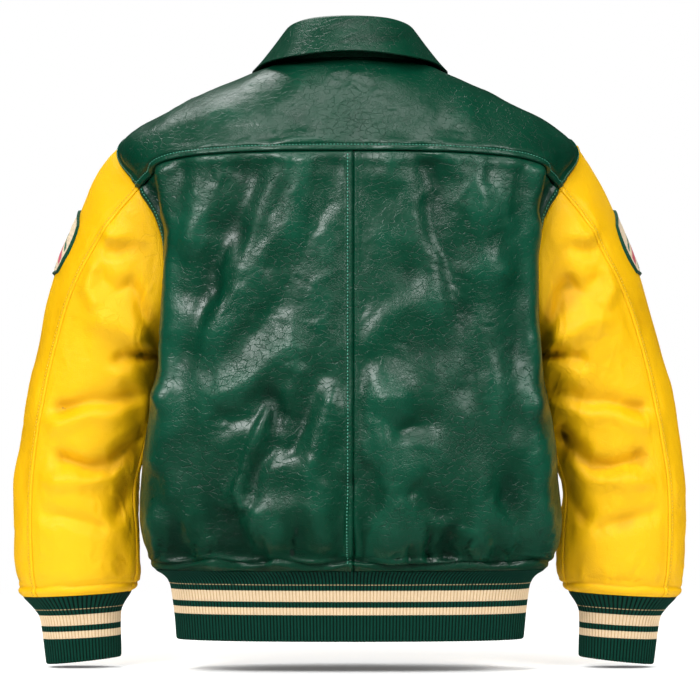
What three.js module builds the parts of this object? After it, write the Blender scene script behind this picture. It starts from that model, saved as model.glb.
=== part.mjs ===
// A leather varsity jacket, filled out as if worn, in millimetres. The wearer looks along +Y and
// stands along +Z, so the jacket's back faces -Y and its left sleeve is at -X. The origin is where
// the wearer's neck base carries the jacket, level with the shoulder points of the neck seam.
// Every piece is one wall: a grid of outer points and a grid of inner points, joined at the rims.
import * as THREE from "three";

// Driving dimensions
const LEATHER = 2.5; // leather with its backing
const KNIT = 2.6; // plain inside of the ribbed knit
const COLLAR_WALL = 3; // two layers of leather
const SEAM_GAP = 0.4; // between pieces that are sewn together
const LAP_GAP = 0.9; // between the two fronts where they lap
const LAP_REACH = 17; // how far each front runs past the centre front
const LAP_FLAT = 21; // where the underlying front is fully set back
const COLLAR_END_X = 6; // the collar stops this far from the centre front
const BACK_COLUMNS = 11;
const FRONT_COLUMNS = 10;
const HEM_RIBS = 200;
const CUFF_RIBS = 52;
const RIB_HEIGHT = 1.1;
const BACK_SEAM_X = 3.5; // the centre-back seam runs a little to the right of the middle
const EARLY_DROP = 3; // powers by which a row's height turns from the back's to the side's
const LATE_DROP = 18;

const GREEN = 0x0b4a32;
const YELLOW = 0xf2c010;
const KNIT_GREEN = 0x0c5138;
const PATCH_CREAM = 0xd9c3a0;
const METAL = 0xb8bcc0;

// A table whose first line names its columns
function table(columns, rows) {
  const names = columns.split(" ");
  return rows.map((row) => Object.fromEntries(names.map((name, i) => [name, row[i]])));
}

// Sections of the body from the hem up. z is given at the centre back, the sides and the centre
// front, width is half the width at side_y, and back_y and front_y are the depths at the middle.
// full_b and full_f are the fullness of the curve (2 is an ellipse). edge_b and edge_f are the
// depths where the back and the front end, at the side seam, the armhole or the shoulder seam. late
// is the share of a row's drop that comes only at its corner, and lean moves its sides in x.
const BODY_COLUMNS =
  "name steps z_back z_side z_front width side_y back_y front_y full_b full_f edge_b edge_f late lean";
const BODY = table(BODY_COLUMNS, [
  ["hem_edge", 1, -590, -590, -590, 225, -38, -110, 106, 2.4, 2.3, 8, 8, 0, 0],
  ["welt_belly", 1, -581, -580, -580, 231, -40, -120, 113, 2.4, 2.3, 8, 8, 0, 0],
  ["welt_crease", 1, -571, -570, -570, 232, -42, -120, 112, 2.5, 2.3, 8, 8, 0, 0],
  ["gather", 1, -556, -556, -556, 237, -46, -133, 120, 2.5, 2.3, 8, 8, 0, 0],
  ["blouse", 2, -532, -532, -532, 241, -50, -144, 127, 2.6, 2.3, 8, 8, 0, 0],
  ["bulge", 2, -490, -490, -490, 239.5, -54, -150, 130, 2.7, 2.3, 8, 8, 0, 0],
  ["waist", 2, -440, -440, -440, 234, -55, -149, 132, 2.8, 2.3, 8, 8, 0, 0],
  ["low_chest", 2, -390, -390, -390, 226, -56, -147, 133, 2.9, 2.3, 8, 8, 0, 0],
  ["underarm", 3, -335, -335, -335, 215, -56, -143, 132, 3.0, 2.5, 8, 8, 0, 0],
  ["arm_low", 3, -285, -290, -290, 213, -56, -140, 130, 3.0, 2.8, -52, 58, 0, 0],
  ["arm_mid", 3, -206, -215, -232, 214, -52, -136, 126, 3.0, 3.0, -60, 68, 0.5, 0],
  ["yoke_seam", 3, -112.5, -156, -192, 243, -36, -129, 119, 2.8, 2.8, -55, 55, 0.67, -1],
  ["shoulder", 3, -82, -101, -150, 264, 4, -118, 108, 2.4, 2.4, 4, 4, 0, -3],
  ["mid_shoulder", 3, -44, -49, -112, 180.5, 2, -98, 96, 2.2, 2.3, 2, 2, 0, -4],
  ["neck", 0, -6, -8, -75, 88, 0, -72, 82, 2.1, 2.1, 0, 0, 0, 0],
]);

// Sections of a sleeve from the armhole to the knit: its outer and inner points seen from behind,
// the depth of its middle, half its depth, and how far it leans in x.
const SLEEVE = table("name steps outer_x outer_z inner_x inner_z mid_y half_y lean", [
  ["armhole", 2, 264, -101, 207, -335, 0, 62, -3],
  ["cap", 2, 292, -141, 222, -349, 3, 66, -3],
  ["upper", 2, 319.5, -198, 222, -365, 8, 68, -4],
  ["bicep", 2, 342, -257, 223, -384, 13, 68, -3],
  ["over_elbow", 2, 358, -315, 224, -406, 17, 68, -2],
  ["elbow", 2, 371.5, -372, 229, -436, 17, 67, -1.5],
  ["under_elbow", 2, 382, -431, 238, -469, 15, 66, -1],
  ["forearm", 2, 389, -490, 246, -503, 13, 64, 0],
  ["low_forearm", 2, 391, -545, 243, -549, 12, 63, 0],
  ["blouse", 1, 389, -592, 242, -590, 12, 60, 0],
  ["crease", 1, 386, -608, 244, -603, 12, 56, 0],
  ["roll", 1, 386, -616, 246, -610, 12, 56, 0],
  ["sleeve_edge", 0, 380, -625, 254, -618, 12, 51, 0],
]);

// Sections of a knit cuff, laid out as those of a sleeve
const CUFF = table("name outer_x outer_z inner_x inner_z mid_y half_y lean", [
  ["top", 379.5, -625.6, 254.5, -618.6, 12, 50, 0],
  ["neck", 365.5, -640, 265, -635, 12, 39, 0],
  ["waist", 358.5, -655, 267.5, -650, 13, 33, 0],
  ["bottom", 352.5, -704, 267, -695, 16, 29, 0],
]);

// Sections of the knit hem, laid out as those of the body
const HEM = table("name z width side_y back_y front_y full", [
  ["top", -590.5, 224, -38, -109.5, 105.5, 2.35],
  ["neck", -608, 206.5, -35, -100, 98, 2.35],
  ["bottom", -671, 199, -32, -97, 96, 2.35],
]);

// Seam angles round the lower sleeve: 0 is outwards, 90 is backwards and 180 is inwards
const BACK_SEAM_ANGLE = 47;
const INNER_SEAM_ANGLE = 159;

// The body's largest folds, as soft ridges (height above 0) and troughs (below 0) along a line
// from x0, z0 to x1, z1. Mirrored ones repeat on the other side.
const BACK_FOLDS = table("x0 z0 x1 z1 half height", [
  [-211, -139, -207, -397, 15, 9],
  [-207, -397, -220, -560, 16, 5],
  [-231, -142, -226, -206, 10, -7],
  [-46, -128, -137, -316, 15, 7],
  [-78, -124, -157, -321, 11, 4],
  [-142, -124, -180, -217, 12, 6],
  [-116, -142, -168, -281, 14, -5],
  [-58, -333, -157, -414, 18, 8],
  [-148, -418, -95, -399, 11, -7],
  [-95, -412, -128, -500, 9, 7],
  [-82, -414, -116, -500, 10, -7],
  [-23, -403, -44, -478, 12, 7],
  [-44, -478, -38, -536, 12, 6],
  [-133, -530, -104, -588, 11, -6],
  [-145, -478, -176, -577, 13, -6],
  [210, -139, 206, -397, 15, 9],
  [206, -397, 222, -560, 16, 5],
  [229, -142, 226, -206, 10, -7],
  [104, -116, 139, -171, 14, 6],
  [139, -171, 165, -246, 14, 7],
  [87, -130, 116, -269, 16, -6],
  [116, -269, 197, -559, 17, -7],
  [52, -389, 41, -420, 17, 7],
  [41, -426, 90, -426, 12, -7],
  [38, -443, 44, -490, 13, 7],
  [44, -490, 60, -513, 12, 6],
  [17, -478, 26, -565, 10, -6],
  [162, -552, 164, -588, 10, -6],
  [70, -555, 72, -588, 10, -5],
]);

const FRONT_FOLDS = table("x0 z0 x1 z1 half height", [
  [-150, -190, -120, -330, 16, 6],
  [-95, -260, -60, -400, 17, -5],
  [-180, -370, -150, -520, 17, 6],
  [-60, -430, -90, -570, 14, -6],
  [-120, -470, -130, -580, 12, 6],
  [150, -185, 118, -345, 16, 6],
  [100, -250, 70, -380, 17, -5],
  [185, -380, 140, -530, 17, 6],
  [66, -440, 96, -575, 14, -6],
  [128, -480, 120, -582, 12, 6],
]);

// A sleeve's largest folds seen from behind, x counted outwards, and others on its hidden side
const SLEEVE_BACK_FOLDS = table("x0 z0 x1 z1 half height", [
  [275, -208, 222, -212, 12, 6],
  [275, -226, 220, -224, 9, -5],
  [292, -262, 262, -258, 11, -8],
  [296, -275, 283, -310, 13, 6],
  [258, -268, 221, -302, 12, -9],
  [285, -322, 226, -335, 15, 9],
  [262, -350, 224, -346, 11, -13],
  [272, -372, 222, -386, 13, 6],
  [353, -405, 236, -381, 12, -10],
  [338, -425, 250, -396, 14, 7],
  [328, -469, 248, -437, 12, -10],
  [270, -524, 244, -461, 11, -9],
  [348, -532, 290, -545, 12, -6],
  [336, -497, 268, -484, 14, 6],
]);

const SLEEVE_FRONT_FOLDS = table("x0 z0 x1 z1 half height", [
  [290, -250, 236, -270, 13, -7],
  [300, -285, 240, -318, 15, 7],
  [318, -350, 244, -366, 13, -10],
  [330, -392, 250, -402, 15, 8],
  [345, -440, 258, -452, 13, -9],
  [340, -500, 268, -508, 13, -6],
]);

const smooth = (t) => {
  const s = Math.min(1, Math.max(0, t));
  return s * s * (3 - 2 * s);
};

const mix = (a, b, t) => a + (b - a) * t;

// Every number of the sections, with each section's steps filled in by a smooth curve
function between(sections) {
  const rows = [];
  const last = sections.length - 1;
  sections.forEach((section, k) => {
    const steps = k < last ? section.steps : 1;
    for (let step = 0; step < steps; step++) rows.push(sectionAt(sections, k, step / steps));
  });
  return rows;
}

function sectionAt(sections, k, t) {
  const near = [-1, 0, 1, 2].map((d) => sections[Math.min(sections.length - 1, Math.max(0, k + d))]);
  const made = { name: t === 0 ? near[1].name : "" };
  for (const key of Object.keys(near[1])) {
    if (key === "name" || key === "steps") continue;
    const [a, b, c, d] = near.map((section) => section[key]);
    made[key] = b + 0.5 * t * (c - a + t * (2 * a - 5 * b + 4 * c - d + t * (3 * (b - c) + d - a)));
  }
  return made;
}

// How far a set of folds moves a point that lies at x, z
function foldHeight(folds, x, z) {
  let height = 0;
  for (const fold of folds) {
    const dx = fold.x1 - fold.x0;
    const dz = fold.z1 - fold.z0;
    const along = ((x - fold.x0) * dx + (z - fold.z0) * dz) / (dx * dx + dz * dz);
    const held = Math.min(1, Math.max(0, along));
    const off = Math.hypot(x - fold.x0 - held * dx, z - fold.z0 - held * dz);
    height += fold.height * Math.exp(-((off / fold.half) ** 2));
  }
  return height;
}

// Points at equal steps along a line of points
function spread(line, count) {
  const lengths = [0];
  for (let i = 1; i < line.length; i++) lengths.push(lengths[i - 1] + line[i].distanceTo(line[i - 1]));
  const total = lengths[lengths.length - 1];
  const made = [];
  let i = 1;
  for (let k = 0; k <= count; k++) {
    const want = (total * k) / count;
    while (i < line.length - 1 && lengths[i] < want) i++;
    const share = (want - lengths[i - 1]) / (lengths[i] - lengths[i - 1]);
    made.push(line[i - 1].clone().lerp(line[i], Math.min(1, share)));
  }
  return made;
}

// A point of a body section at an angle from the centre back (0) to the centre front (180 degrees)
function bodyPoint(s, angle, side) {
  const cosine = Math.cos(angle);
  const front = cosine < 0;
  const power = 2 / (front ? s.full_f : s.full_b);
  const share = Math.abs(Math.sin(angle)) ** power;
  const deep = Math.abs(cosine) ** power;
  const y = s.side_y + (front ? s.front_y - s.side_y : s.back_y - s.side_y) * deep;
  const drop = mix(share ** EARLY_DROP, share ** LATE_DROP, s.late);
  const lift = front ? (s.z_front - s.z_side) * cosine * cosine : (s.z_back - s.z_side) * (1 - drop);
  return new THREE.Vector3(side * s.width * share + s.lean * share * share, y, s.z_side + lift);
}

function angleAtDepth(s, y) {
  const front = y > s.side_y;
  const share = (y - s.side_y) / ((front ? s.front_y : s.back_y) - s.side_y);
  const cosine = Math.min(1, share) ** ((front ? s.full_f : s.full_b) / 2);
  return front ? Math.PI - Math.acos(cosine) : Math.acos(cosine);
}

const CURVE_STEPS = 160;

function bodyArc(s, from, to, side, count) {
  const line = [];
  for (let i = 0; i <= CURVE_STEPS; i++) line.push(bodyPoint(s, mix(from, to, i / CURVE_STEPS), side));
  return spread(line, count);
}

// The outer points of one quarter of the body: rows from the hem up, columns from the middle out
const bodyRows = between(BODY);
const rowOf = (name) => bodyRows.findIndex((row) => row.name === name);
const UNDERARM = rowOf("underarm");
const YOKE_SEAM = rowOf("yoke_seam");
const SHOULDER = rowOf("shoulder");
const TOP = bodyRows.length - 1;

// The way a fold of the body stands out: mostly forwards or backwards, so that its sides stay plain
const foldOut = (p, s) => new THREE.Vector3(p.x * 0.4, (p.y - s.side_y) * 1.6, 0).normalize();

function backQuarter(side) {
  return bodyRows.map((s, i) => {
    const edge = i >= SHOULDER ? Math.PI / 2 : angleAtDepth(s, s.edge_b);
    const row = bodyArc(s, 0, edge, side, BACK_COLUMNS);
    const calm = 1 - smooth((i - YOKE_SEAM) / (SHOULDER - YOKE_SEAM));
    return row.map((p, j) => {
      if (j === 0) p.x = BACK_SEAM_X;
      if (j === 1) p.x += BACK_SEAM_X * 0.5;
      const rise = calm * smooth((s.side_y - p.y) / 50) * foldHeight(BACK_FOLDS, p.x, p.z);
      return p.addScaledVector(foldOut(p, s), rise);
    });
  });
}

// A front runs on past the centre; the one beneath is set back by a wall and the lap's gap
function frontQuarter(side, beneath) {
  const setBack = LEATHER + LAP_GAP;
  return bodyRows.map((s, i) => {
    const edge = i >= SHOULDER ? Math.PI / 2 : angleAtDepth(s, s.edge_f);
    const flat = Math.PI - Math.asin((LAP_FLAT / s.width) ** (s.full_f / 2));
    const row = bodyArc(s, edge, flat, side, FRONT_COLUMNS);
    const calm = 1 - smooth((i - UNDERARM) / (SHOULDER - UNDERARM));
    row.forEach((p) => {
      const near = smooth((Math.abs(p.x) - LAP_FLAT) / 60);
      const turned = smooth((p.y - s.side_y - 60) / 50);
      p.addScaledVector(foldOut(p, s), calm * near * turned * foldHeight(FRONT_FOLDS, p.x, p.z));
    });
    const middle = bodyPoint(s, Math.PI, side);
    row.push(middle.clone().setX(side * COLLAR_END_X), middle.setX(-side * LAP_REACH));
    if (beneath) for (const p of row.slice(FRONT_COLUMNS)) p.y -= setBack;
    return row;
  });
}

// Unit normals of a grid of points, pointing away from the inside. A closed grid joins round.
function normalsOf(grid, inside, closed) {
  const last = grid.length - 1;
  return grid.map((row, i) => {
    const wide = row.length;
    return row.map((p, j) => {
      const left = closed ? row[(j + wide - 1) % wide] : row[Math.max(0, j - 1)];
      const right = closed ? row[(j + 1) % wide] : row[Math.min(wide - 1, j + 1)];
      const across = right.clone().sub(left);
      const up = grid[Math.min(last, i + 1)][j].clone().sub(grid[Math.max(0, i - 1)][j]);
      const n = across.cross(up).normalize();
      return n.dot(p.clone().sub(inside(i))) < 0 ? n.negate() : n;
    });
  });
}

// Turns the normals of a piece's end row into the plane of its rim
function flatten(normals, across) {
  for (const n of normals) n.addScaledVector(across, -n.dot(across)).normalize();
}

// Gives two borders that are sewn together the mean of their normals
function share(a, b) {
  a.forEach((n, k) => {
    const mean = n.clone().add(b[k]).normalize();
    n.copy(mean);
    b[k].copy(mean);
  });
}

// A point well inside the body, level with a row or, above the underarm, somewhat below it
function bodyMiddle(i) {
  const level = mix(bodyRows[i].z_back, bodyRows[i].z_front, 0.5);
  return new THREE.Vector3(0, 0, i > UNDERARM ? level - 60 : level);
}

const UP = new THREE.Vector3(0, 0, 1);

function quarter(points) {
  const normals = normalsOf(points, bodyMiddle, false);
  flatten(normals[0], UP);
  return { points, normals };
}

const column = (grid, j, from, to) => grid.slice(from, to + 1).map((row) => row[j]);

const body = {
  backLeft: quarter(backQuarter(-1)),
  backRight: quarter(backQuarter(1)),
  frontLeft: quarter(frontQuarter(-1, false)),
  frontRight: quarter(frontQuarter(1, true)),
};

share(column(body.backLeft.normals, 0, 0, TOP), column(body.backRight.normals, 0, 0, TOP));
for (const [back, front] of [
  [body.backLeft, body.frontLeft],
  [body.backRight, body.frontRight],
]) {
  for (const [from, to] of [
    [0, UNDERARM],
    [SHOULDER, TOP],
  ]) {
    const backEdge = column(back.points, BACK_COLUMNS, from, to);
    const frontEdge = column(front.points, 0, from, to);
    backEdge.forEach((p, k) => frontEdge[k].copy(p));
    share(column(back.normals, BACK_COLUMNS, from, to), column(front.normals, 0, from, to));
  }
}

// The armhole's points from the underarm up the back, over the shoulder and down the front
function armhole(back, front, key) {
  const rising = column(back[key], BACK_COLUMNS, UNDERARM, SHOULDER);
  const falling = column(front[key], 0, UNDERARM + 1, SHOULDER - 1).reverse();
  return [...rising, ...falling];
}

const UNDER_COLUMNS = YOKE_SEAM - UNDERARM;
const SLEEVE_COLUMNS = 2 * (SHOULDER - UNDERARM);

// A point of a sleeve section: angle 0 is outwards, a quarter turn is backwards
function sleevePoint(s, angle, side) {
  const x = mix(s.outer_x, s.inner_x, 0.5) + (s.outer_x - s.inner_x) * 0.5 * Math.cos(angle);
  const z = mix(s.outer_z, s.inner_z, 0.5) + (s.outer_z - s.inner_z) * 0.5 * Math.cos(angle);
  return new THREE.Vector3(side * x + s.lean, s.mid_y - s.half_y * Math.sin(angle), z);
}

// Where a point of the armhole lies round the sleeve's first section
function armholeAngle(p, s, side) {
  const dx = (s.outer_x - s.inner_x) * 0.5;
  const dz = (s.outer_z - s.inner_z) * 0.5;
  const x = side * (p.x - s.lean) - mix(s.outer_x, s.inner_x, 0.5);
  const z = p.z - mix(s.outer_z, s.inner_z, 0.5);
  return Math.atan2((s.mid_y - p.y) / s.half_y, (x * dx + z * dz) / (dx * dx + dz * dz));
}

// How far the body reaches out in x at a depth and a height
function bodyReach(y, z) {
  const k = Math.min(TOP, Math.max(1, bodyRows.findIndex((row) => row.z_side > z)));
  const a = bodyRows[k - 1];
  const b = bodyRows[k];
  const t = (z - a.z_side) / (b.z_side - a.z_side);
  const at = (key) => mix(a[key], b[key], Math.max(0, t));
  const front = y > at("side_y");
  const depth = (y - at("side_y")) / ((front ? at("front_y") : at("back_y")) - at("side_y"));
  const full = at(front ? "full_f" : "full_b");
  return depth < 1 ? at("width") * (1 - depth ** full) ** (1 / full) : 0;
}

const SLEEVE_CLEARANCE = 2.5; // between the hanging sleeve and the body's side

const radians = (degrees) => (degrees * Math.PI) / 180;

function lowerAngle(j) {
  const back = radians(BACK_SEAM_ANGLE);
  const inner = radians(INNER_SEAM_ANGLE);
  if (j <= UNDER_COLUMNS) return mix(inner, back, j / UNDER_COLUMNS);
  return mix(back, inner - 2 * Math.PI, (j - UNDER_COLUMNS) / (SLEEVE_COLUMNS - UNDER_COLUMNS));
}

function sleeveGrid(loop, side) {
  const rows = between(SLEEVE);
  const first = rows[0];
  const angles = loop.map((p, j) => {
    const angle = armholeAngle(p, first, side);
    if (j === 0) return Math.PI;
    return j > SLEEVE_COLUMNS / 2 && angle > 0 ? angle - 2 * Math.PI : angle;
  });
  return rows.map((s, i) => {
    const down = i / (rows.length - 1);
    const turn = smooth(down / 0.45);
    const held = 1 - smooth(down / 0.3);
    const folds = smooth((down - 0.06) / 0.08) * (1 - smooth((down - 0.9) / 0.08));
    return loop.map((start, j) => {
      const angle = mix(angles[j], lowerAngle(j), turn);
      const p = sleevePoint(s, angle, side);
      const rest = sleevePoint(first, angles[j], side);
      p.addScaledVector(start.clone().sub(rest), held);
      const facing = Math.sin(angle);
      const list = facing > 0 ? SLEEVE_BACK_FOLDS : SLEEVE_FRONT_FOLDS;
      const rise = folds * smooth(Math.abs(facing) / 0.5) * foldHeight(list, side * p.x, p.z);
      const out = new THREE.Vector3(side * Math.cos(angle) * 0.6, -facing, 0).normalize();
      if (i === 0) return start.clone();
      p.addScaledVector(out, rise);
      const reach = bodyReach(p.y, p.z) + SLEEVE_CLEARANCE * Math.min(1, i / 2);
      return p.setX(side * Math.max(side * p.x, reach));
    });
  });
}

const tubeMiddle = (s, side) => sleevePoint(s, 0, side).lerp(sleevePoint(s, Math.PI, side), 0.5);

// The direction a tube's section faces
function tubeAxis(s, side) {
  const across = sleevePoint(s, 0, side).sub(sleevePoint(s, Math.PI, side));
  return across.cross(new THREE.Vector3(0, 1, 0)).normalize();
}

function sleeve(back, front, side) {
  const points = sleeveGrid(armhole(back, front, "points"), side);
  const rows = between(SLEEVE);
  const middle = (i) => tubeMiddle(rows[i], side);
  const normals = normalsOf(points, middle, true);
  flatten(normals[points.length - 1], tubeAxis(rows[rows.length - 1], side));
  share(normals[0], armhole(back, front, "normals"));
  return { points, normals };
}

const sleeves = {
  left: sleeve(body.backLeft, body.frontLeft, -1),
  right: sleeve(body.backRight, body.frontRight, 1),
};
// The front's edge shares the underarm and shoulder points with the back's
for (const [back, front] of [
  [body.backLeft, body.frontLeft],
  [body.backRight, body.frontRight],
])
  for (const i of [UNDERARM, SHOULDER]) front.normals[i][0].copy(back.normals[i][BACK_COLUMNS]);

// A piece's own copy of part of a grid
function cut({ points, normals }, [rowFrom, rowTo], [from, to]) {
  const pick = (grid) =>
    grid.slice(rowFrom, rowTo + 1).map((row) => {
      const made = [];
      for (let j = from; j <= to; j++) made.push(row[j % row.length].clone());
      return made;
    });
  return { points: pick(points), normals: pick(normals) };
}

// Moves a piece's borders back from its seams by half the seam's gap, within the surface
function seamed(piece, borders) {
  const { points, normals } = piece;
  const rows = points.length;
  const columns = points[0].length;
  const moves = points.map((row) => row.map(() => new THREE.Vector3()));
  const pull = (i, j, alongI, alongJ, inI, inJ) => {
    const at = (di, dj) =>
      points[Math.min(rows - 1, Math.max(0, i + di))][Math.min(columns - 1, Math.max(0, j + dj))];
    const along = at(alongI, alongJ).clone().sub(at(-alongI, -alongJ));
    const inward = along.cross(normals[i][j]).normalize();
    if (inward.dot(at(inI, inJ).clone().sub(points[i][j])) < 0) inward.negate();
    moves[i][j].addScaledVector(inward, SEAM_GAP / 2);
  };
  for (let j = 0; j < columns; j++) {
    if (borders.includes("bottom")) pull(0, j, 0, 1, 1, 0);
    if (borders.includes("top")) pull(rows - 1, j, 0, 1, -1, 0);
  }
  for (let i = 0; i < rows; i++) {
    if (borders.includes("first")) pull(i, 0, 1, 0, 0, 1);
    if (borders.includes("last")) pull(i, columns - 1, 1, 0, 0, -1);
  }
  points.forEach((row, i) => row.forEach((p, j) => p.add(moves[i][j])));
  return piece;
}

// The closed mesh between an outer and an inner grid. The outer grid may be finer along its rows by
// a whole number. A closed wall joins round; an open one has rims at its first and last columns.
function wallGeometry(outer, inner, closed = false) {
  const rows = outer.length;
  const fine = outer[0].length - (closed ? 0 : 1);
  const coarse = inner[0].length - (closed ? 0 : 1);
  const ratio = fine / coarse;
  const positions = [];
  const add = (grid) => {
    const start = positions.length / 3;
    grid.forEach((row) => row.forEach((p) => positions.push(p.x, p.y, p.z)));
    return (i, j) => start + i * grid[0].length + (j % grid[0].length);
  };
  const out = add(outer);
  const inn = add(inner);
  const faces = [];
  const quad = (a, b, c, d) => faces.push(a, b, c, a, c, d);
  for (let i = 0; i < rows - 1; i++) {
    for (let j = 0; j < fine; j++) quad(out(i, j), out(i, j + 1), out(i + 1, j + 1), out(i + 1, j));
    for (let j = 0; j < coarse; j++) quad(inn(i, j), inn(i + 1, j), inn(i + 1, j + 1), inn(i, j + 1));
    if (closed) continue;
    quad(out(i, 0), out(i + 1, 0), inn(i + 1, 0), inn(i, 0));
    quad(out(i, fine), inn(i, coarse), inn(i + 1, coarse), out(i + 1, fine));
  }
  for (const [i, flip] of [
    [0, false],
    [rows - 1, true],
  ]) {
    const tri = (a, b, c) => (flip ? faces.push(a, c, b) : faces.push(a, b, c));
    for (let k = 0; k < coarse; k++) {
      const half = Math.ceil(ratio / 2);
      for (let m = 0; m < ratio; m++)
        tri(out(i, ratio * k + m), inn(i, m < half ? k : k + 1), out(i, ratio * k + m + 1));
      tri(out(i, ratio * k + half), inn(i, k), inn(i, k + 1));
    }
  }
  const geometry = new THREE.BufferGeometry();
  geometry.setAttribute("position", new THREE.Float32BufferAttribute(positions, 3));
  geometry.setIndex(faces);
  return outwards(geometry);
}

// Turns every face round if the closed mesh is inside out
function outwards(geometry) {
  const p = geometry.getAttribute("position");
  const index = geometry.getIndex();
  const corner = (k) => new THREE.Vector3().fromBufferAttribute(p, index.getX(k));
  let volume = 0;
  for (let k = 0; k < index.count; k += 3) volume += corner(k).dot(corner(k + 1).cross(corner(k + 2)));
  if (volume < 0)
    for (let k = 0; k < index.count; k += 3) {
      const b = index.getX(k + 1);
      index.setX(k + 1, index.getX(k + 2));
      index.setX(k + 2, b);
    }
  geometry.computeVertexNormals();
  return geometry;
}

const offset = ({ points, normals }, amount) =>
  points.map((row, i) => row.map((p, j) => p.clone().addScaledVector(normals[i][j], amount)));

const jacket = new THREE.Group();

function addMesh(name, geometry, color, roughness, metalness = 0) {
  const mesh = new THREE.Mesh(geometry, new THREE.MeshStandardMaterial({ color, roughness, metalness }));
  mesh.name = name;
  jacket.add(mesh);
  return mesh;
}

function addWall(name, piece, thickness, color, roughness) {
  return addMesh(name, wallGeometry(piece.points, offset(piece, -thickness)), color, roughness);
}

// The yoke runs from armhole to armhole, so its left half is turned round
function yokePiece() {
  const rows = [YOKE_SEAM, TOP];
  const left = cut(body.backLeft, rows, [1, BACK_COLUMNS]);
  const right = cut(body.backRight, rows, [0, BACK_COLUMNS]);
  const joinRows = (a, b) => a.map((row, i) => [...row.reverse(), ...b[i]]);
  return seamed(
    { points: joinRows(left.points, right.points), normals: joinRows(left.normals, right.normals) },
    ["bottom", "top", "first", "last"],
  );
}

function addBody() {
  addWall("yoke", yokePiece(), LEATHER, GREEN, 0.35);
  for (const side of ["Left", "Right"]) {
    const back = cut(body["back" + side], [0, YOKE_SEAM], [0, BACK_COLUMNS]);
    const front = cut(body["front" + side], [0, TOP], [0, FRONT_COLUMNS + 2]);
    const name = side.toLowerCase();
    addWall("back_" + name, seamed(back, ["first", "last", "top"]), LEATHER, GREEN, 0.35);
    addWall("front_" + name, seamed(front, ["first", "top"]), LEATHER, GREEN, 0.35);
  }
}

function addSleeves() {
  for (const name of ["left", "right"]) {
    const grid = sleeves[name];
    const rows = [0, grid.points.length - 1];
    const under = cut(grid, rows, [0, UNDER_COLUMNS]);
    const upper = cut(grid, rows, [UNDER_COLUMNS, SLEEVE_COLUMNS]);
    const borders = ["bottom", "first", "last"];
    addWall(`sleeve_${name}_under`, seamed(under, borders), LEATHER, YELLOW, 0.5);
    addWall(`sleeve_${name}_upper`, seamed(upper, borders), LEATHER, YELLOW, 0.5);
  }
}

// Turns a smooth ring of points into ribs: every second point stands out. The inner wall is plain.
function ribbed(rows, ribs, closed, inside, axis) {
  const outerRows = rows.map((line) => spread(line, ribs * 2));
  if (closed) outerRows.forEach((row) => row.pop());
  const normals = normalsOf(outerRows, inside, closed);
  flatten(normals[0], axis);
  const inner = outerRows.map((row, i) =>
    row.map((p, j) => p.clone().addScaledVector(normals[i][j], -KNIT)).filter((p, j) => j % RIB_RATIO === 0),
  );
  const outer = outerRows.map((row, i) =>
    row.map((p, j) => p.clone().addScaledVector(normals[i][j], j % 2 === 0 ? 0 : RIB_HEIGHT)),
  );
  return wallGeometry(outer, inner, closed);
}

const RIB_RATIO = 8; // outer points for each inner one

function addCuffs() {
  for (const [name, side] of [
    ["left", -1],
    ["right", 1],
  ]) {
    const rows = CUFF.map((s) => {
      const line = [];
      for (let i = 0; i <= CURVE_STEPS; i++) line.push(sleevePoint(s, (2 * Math.PI * i) / CURVE_STEPS, side));
      return line;
    });
    const middle = (i) => tubeMiddle(CUFF[i], side);
    addMesh("cuff_" + name, ribbed(rows, CUFF_RIBS, true, middle, tubeAxis(CUFF[0], side)), KNIT_GREEN, 0.95);
  }
}

// The knit hem is one band. Its left end laps over its right end at the centre front.
function hemLine(s) {
  const setBack = KNIT + RIB_HEIGHT + LAP_GAP;
  const section = {
    width: s.width,
    side_y: s.side_y,
    back_y: s.back_y,
    front_y: s.front_y,
    full_b: s.full,
    full_f: s.full,
    z_back: s.z,
    z_side: s.z,
    z_front: s.z,
    late: 0,
    lean: 0,
  };
  const line = [new THREE.Vector3(LAP_REACH, s.front_y, s.z)];
  for (const side of [-1, 1])
    for (let i = 0; i <= CURVE_STEPS; i++) {
      const share = side < 0 ? 1 - i / CURVE_STEPS : i / CURVE_STEPS;
      if (side > 0 && i === 0) continue;
      line.push(bodyPoint(section, Math.PI * share, side));
    }
  const lapped = line.map((p, i) => {
    const beneath = i > line.length / 2 ? 1 - smooth((p.x - LAP_FLAT) / 40) : 0;
    const inFront = p.y > 0 ? 1 : 0;
    return p.clone().setY(p.y - setBack * beneath * inFront);
  });
  lapped.push(new THREE.Vector3(-LAP_REACH, s.front_y - setBack, s.z));
  return lapped;
}

function addHem() {
  const middle = (i) => new THREE.Vector3(0, 0, HEM[i].z);
  addMesh("hem_band", ribbed(HEM.map(hemLine), HEM_RIBS, false, middle, UP), KNIT_GREEN, 0.95);
}

// The collar folds over on itself: it rises from the neck seam, rolls over and falls outside.
// Each station gives the roll's and the edge's places, from one side of the centre back (share 0)
// past the shoulder (share 0.5) to the centre front (share 1).
const COLLAR_STATIONS = table("share roll_x roll_y roll_z edge_x edge_y edge_z", [
  [-0.25, -46.5, -48, 35.5, -69, -79, -4],
  [0, 0, -60, 38.5, 0, -96, 2],
  [0.25, 46.5, -48, 35.5, 69, -79, -4],
  [0.5, 68, -2, 25, 107, -2, -12],
  [0.75, 55, 38, 4, 110, 46, -33],
  [1, 7, 79, -60, 76, 122, -138],
]);
const ROLL_WIDTH = 9;
const ROLL_HEIGHT = 4.5;

function collarStation(share) {
  const scaled = (share + 0.25) / 0.25;
  const k = Math.min(COLLAR_STATIONS.length - 2, Math.floor(scaled));
  return sectionAt(COLLAR_STATIONS, k, scaled - k);
}

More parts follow.
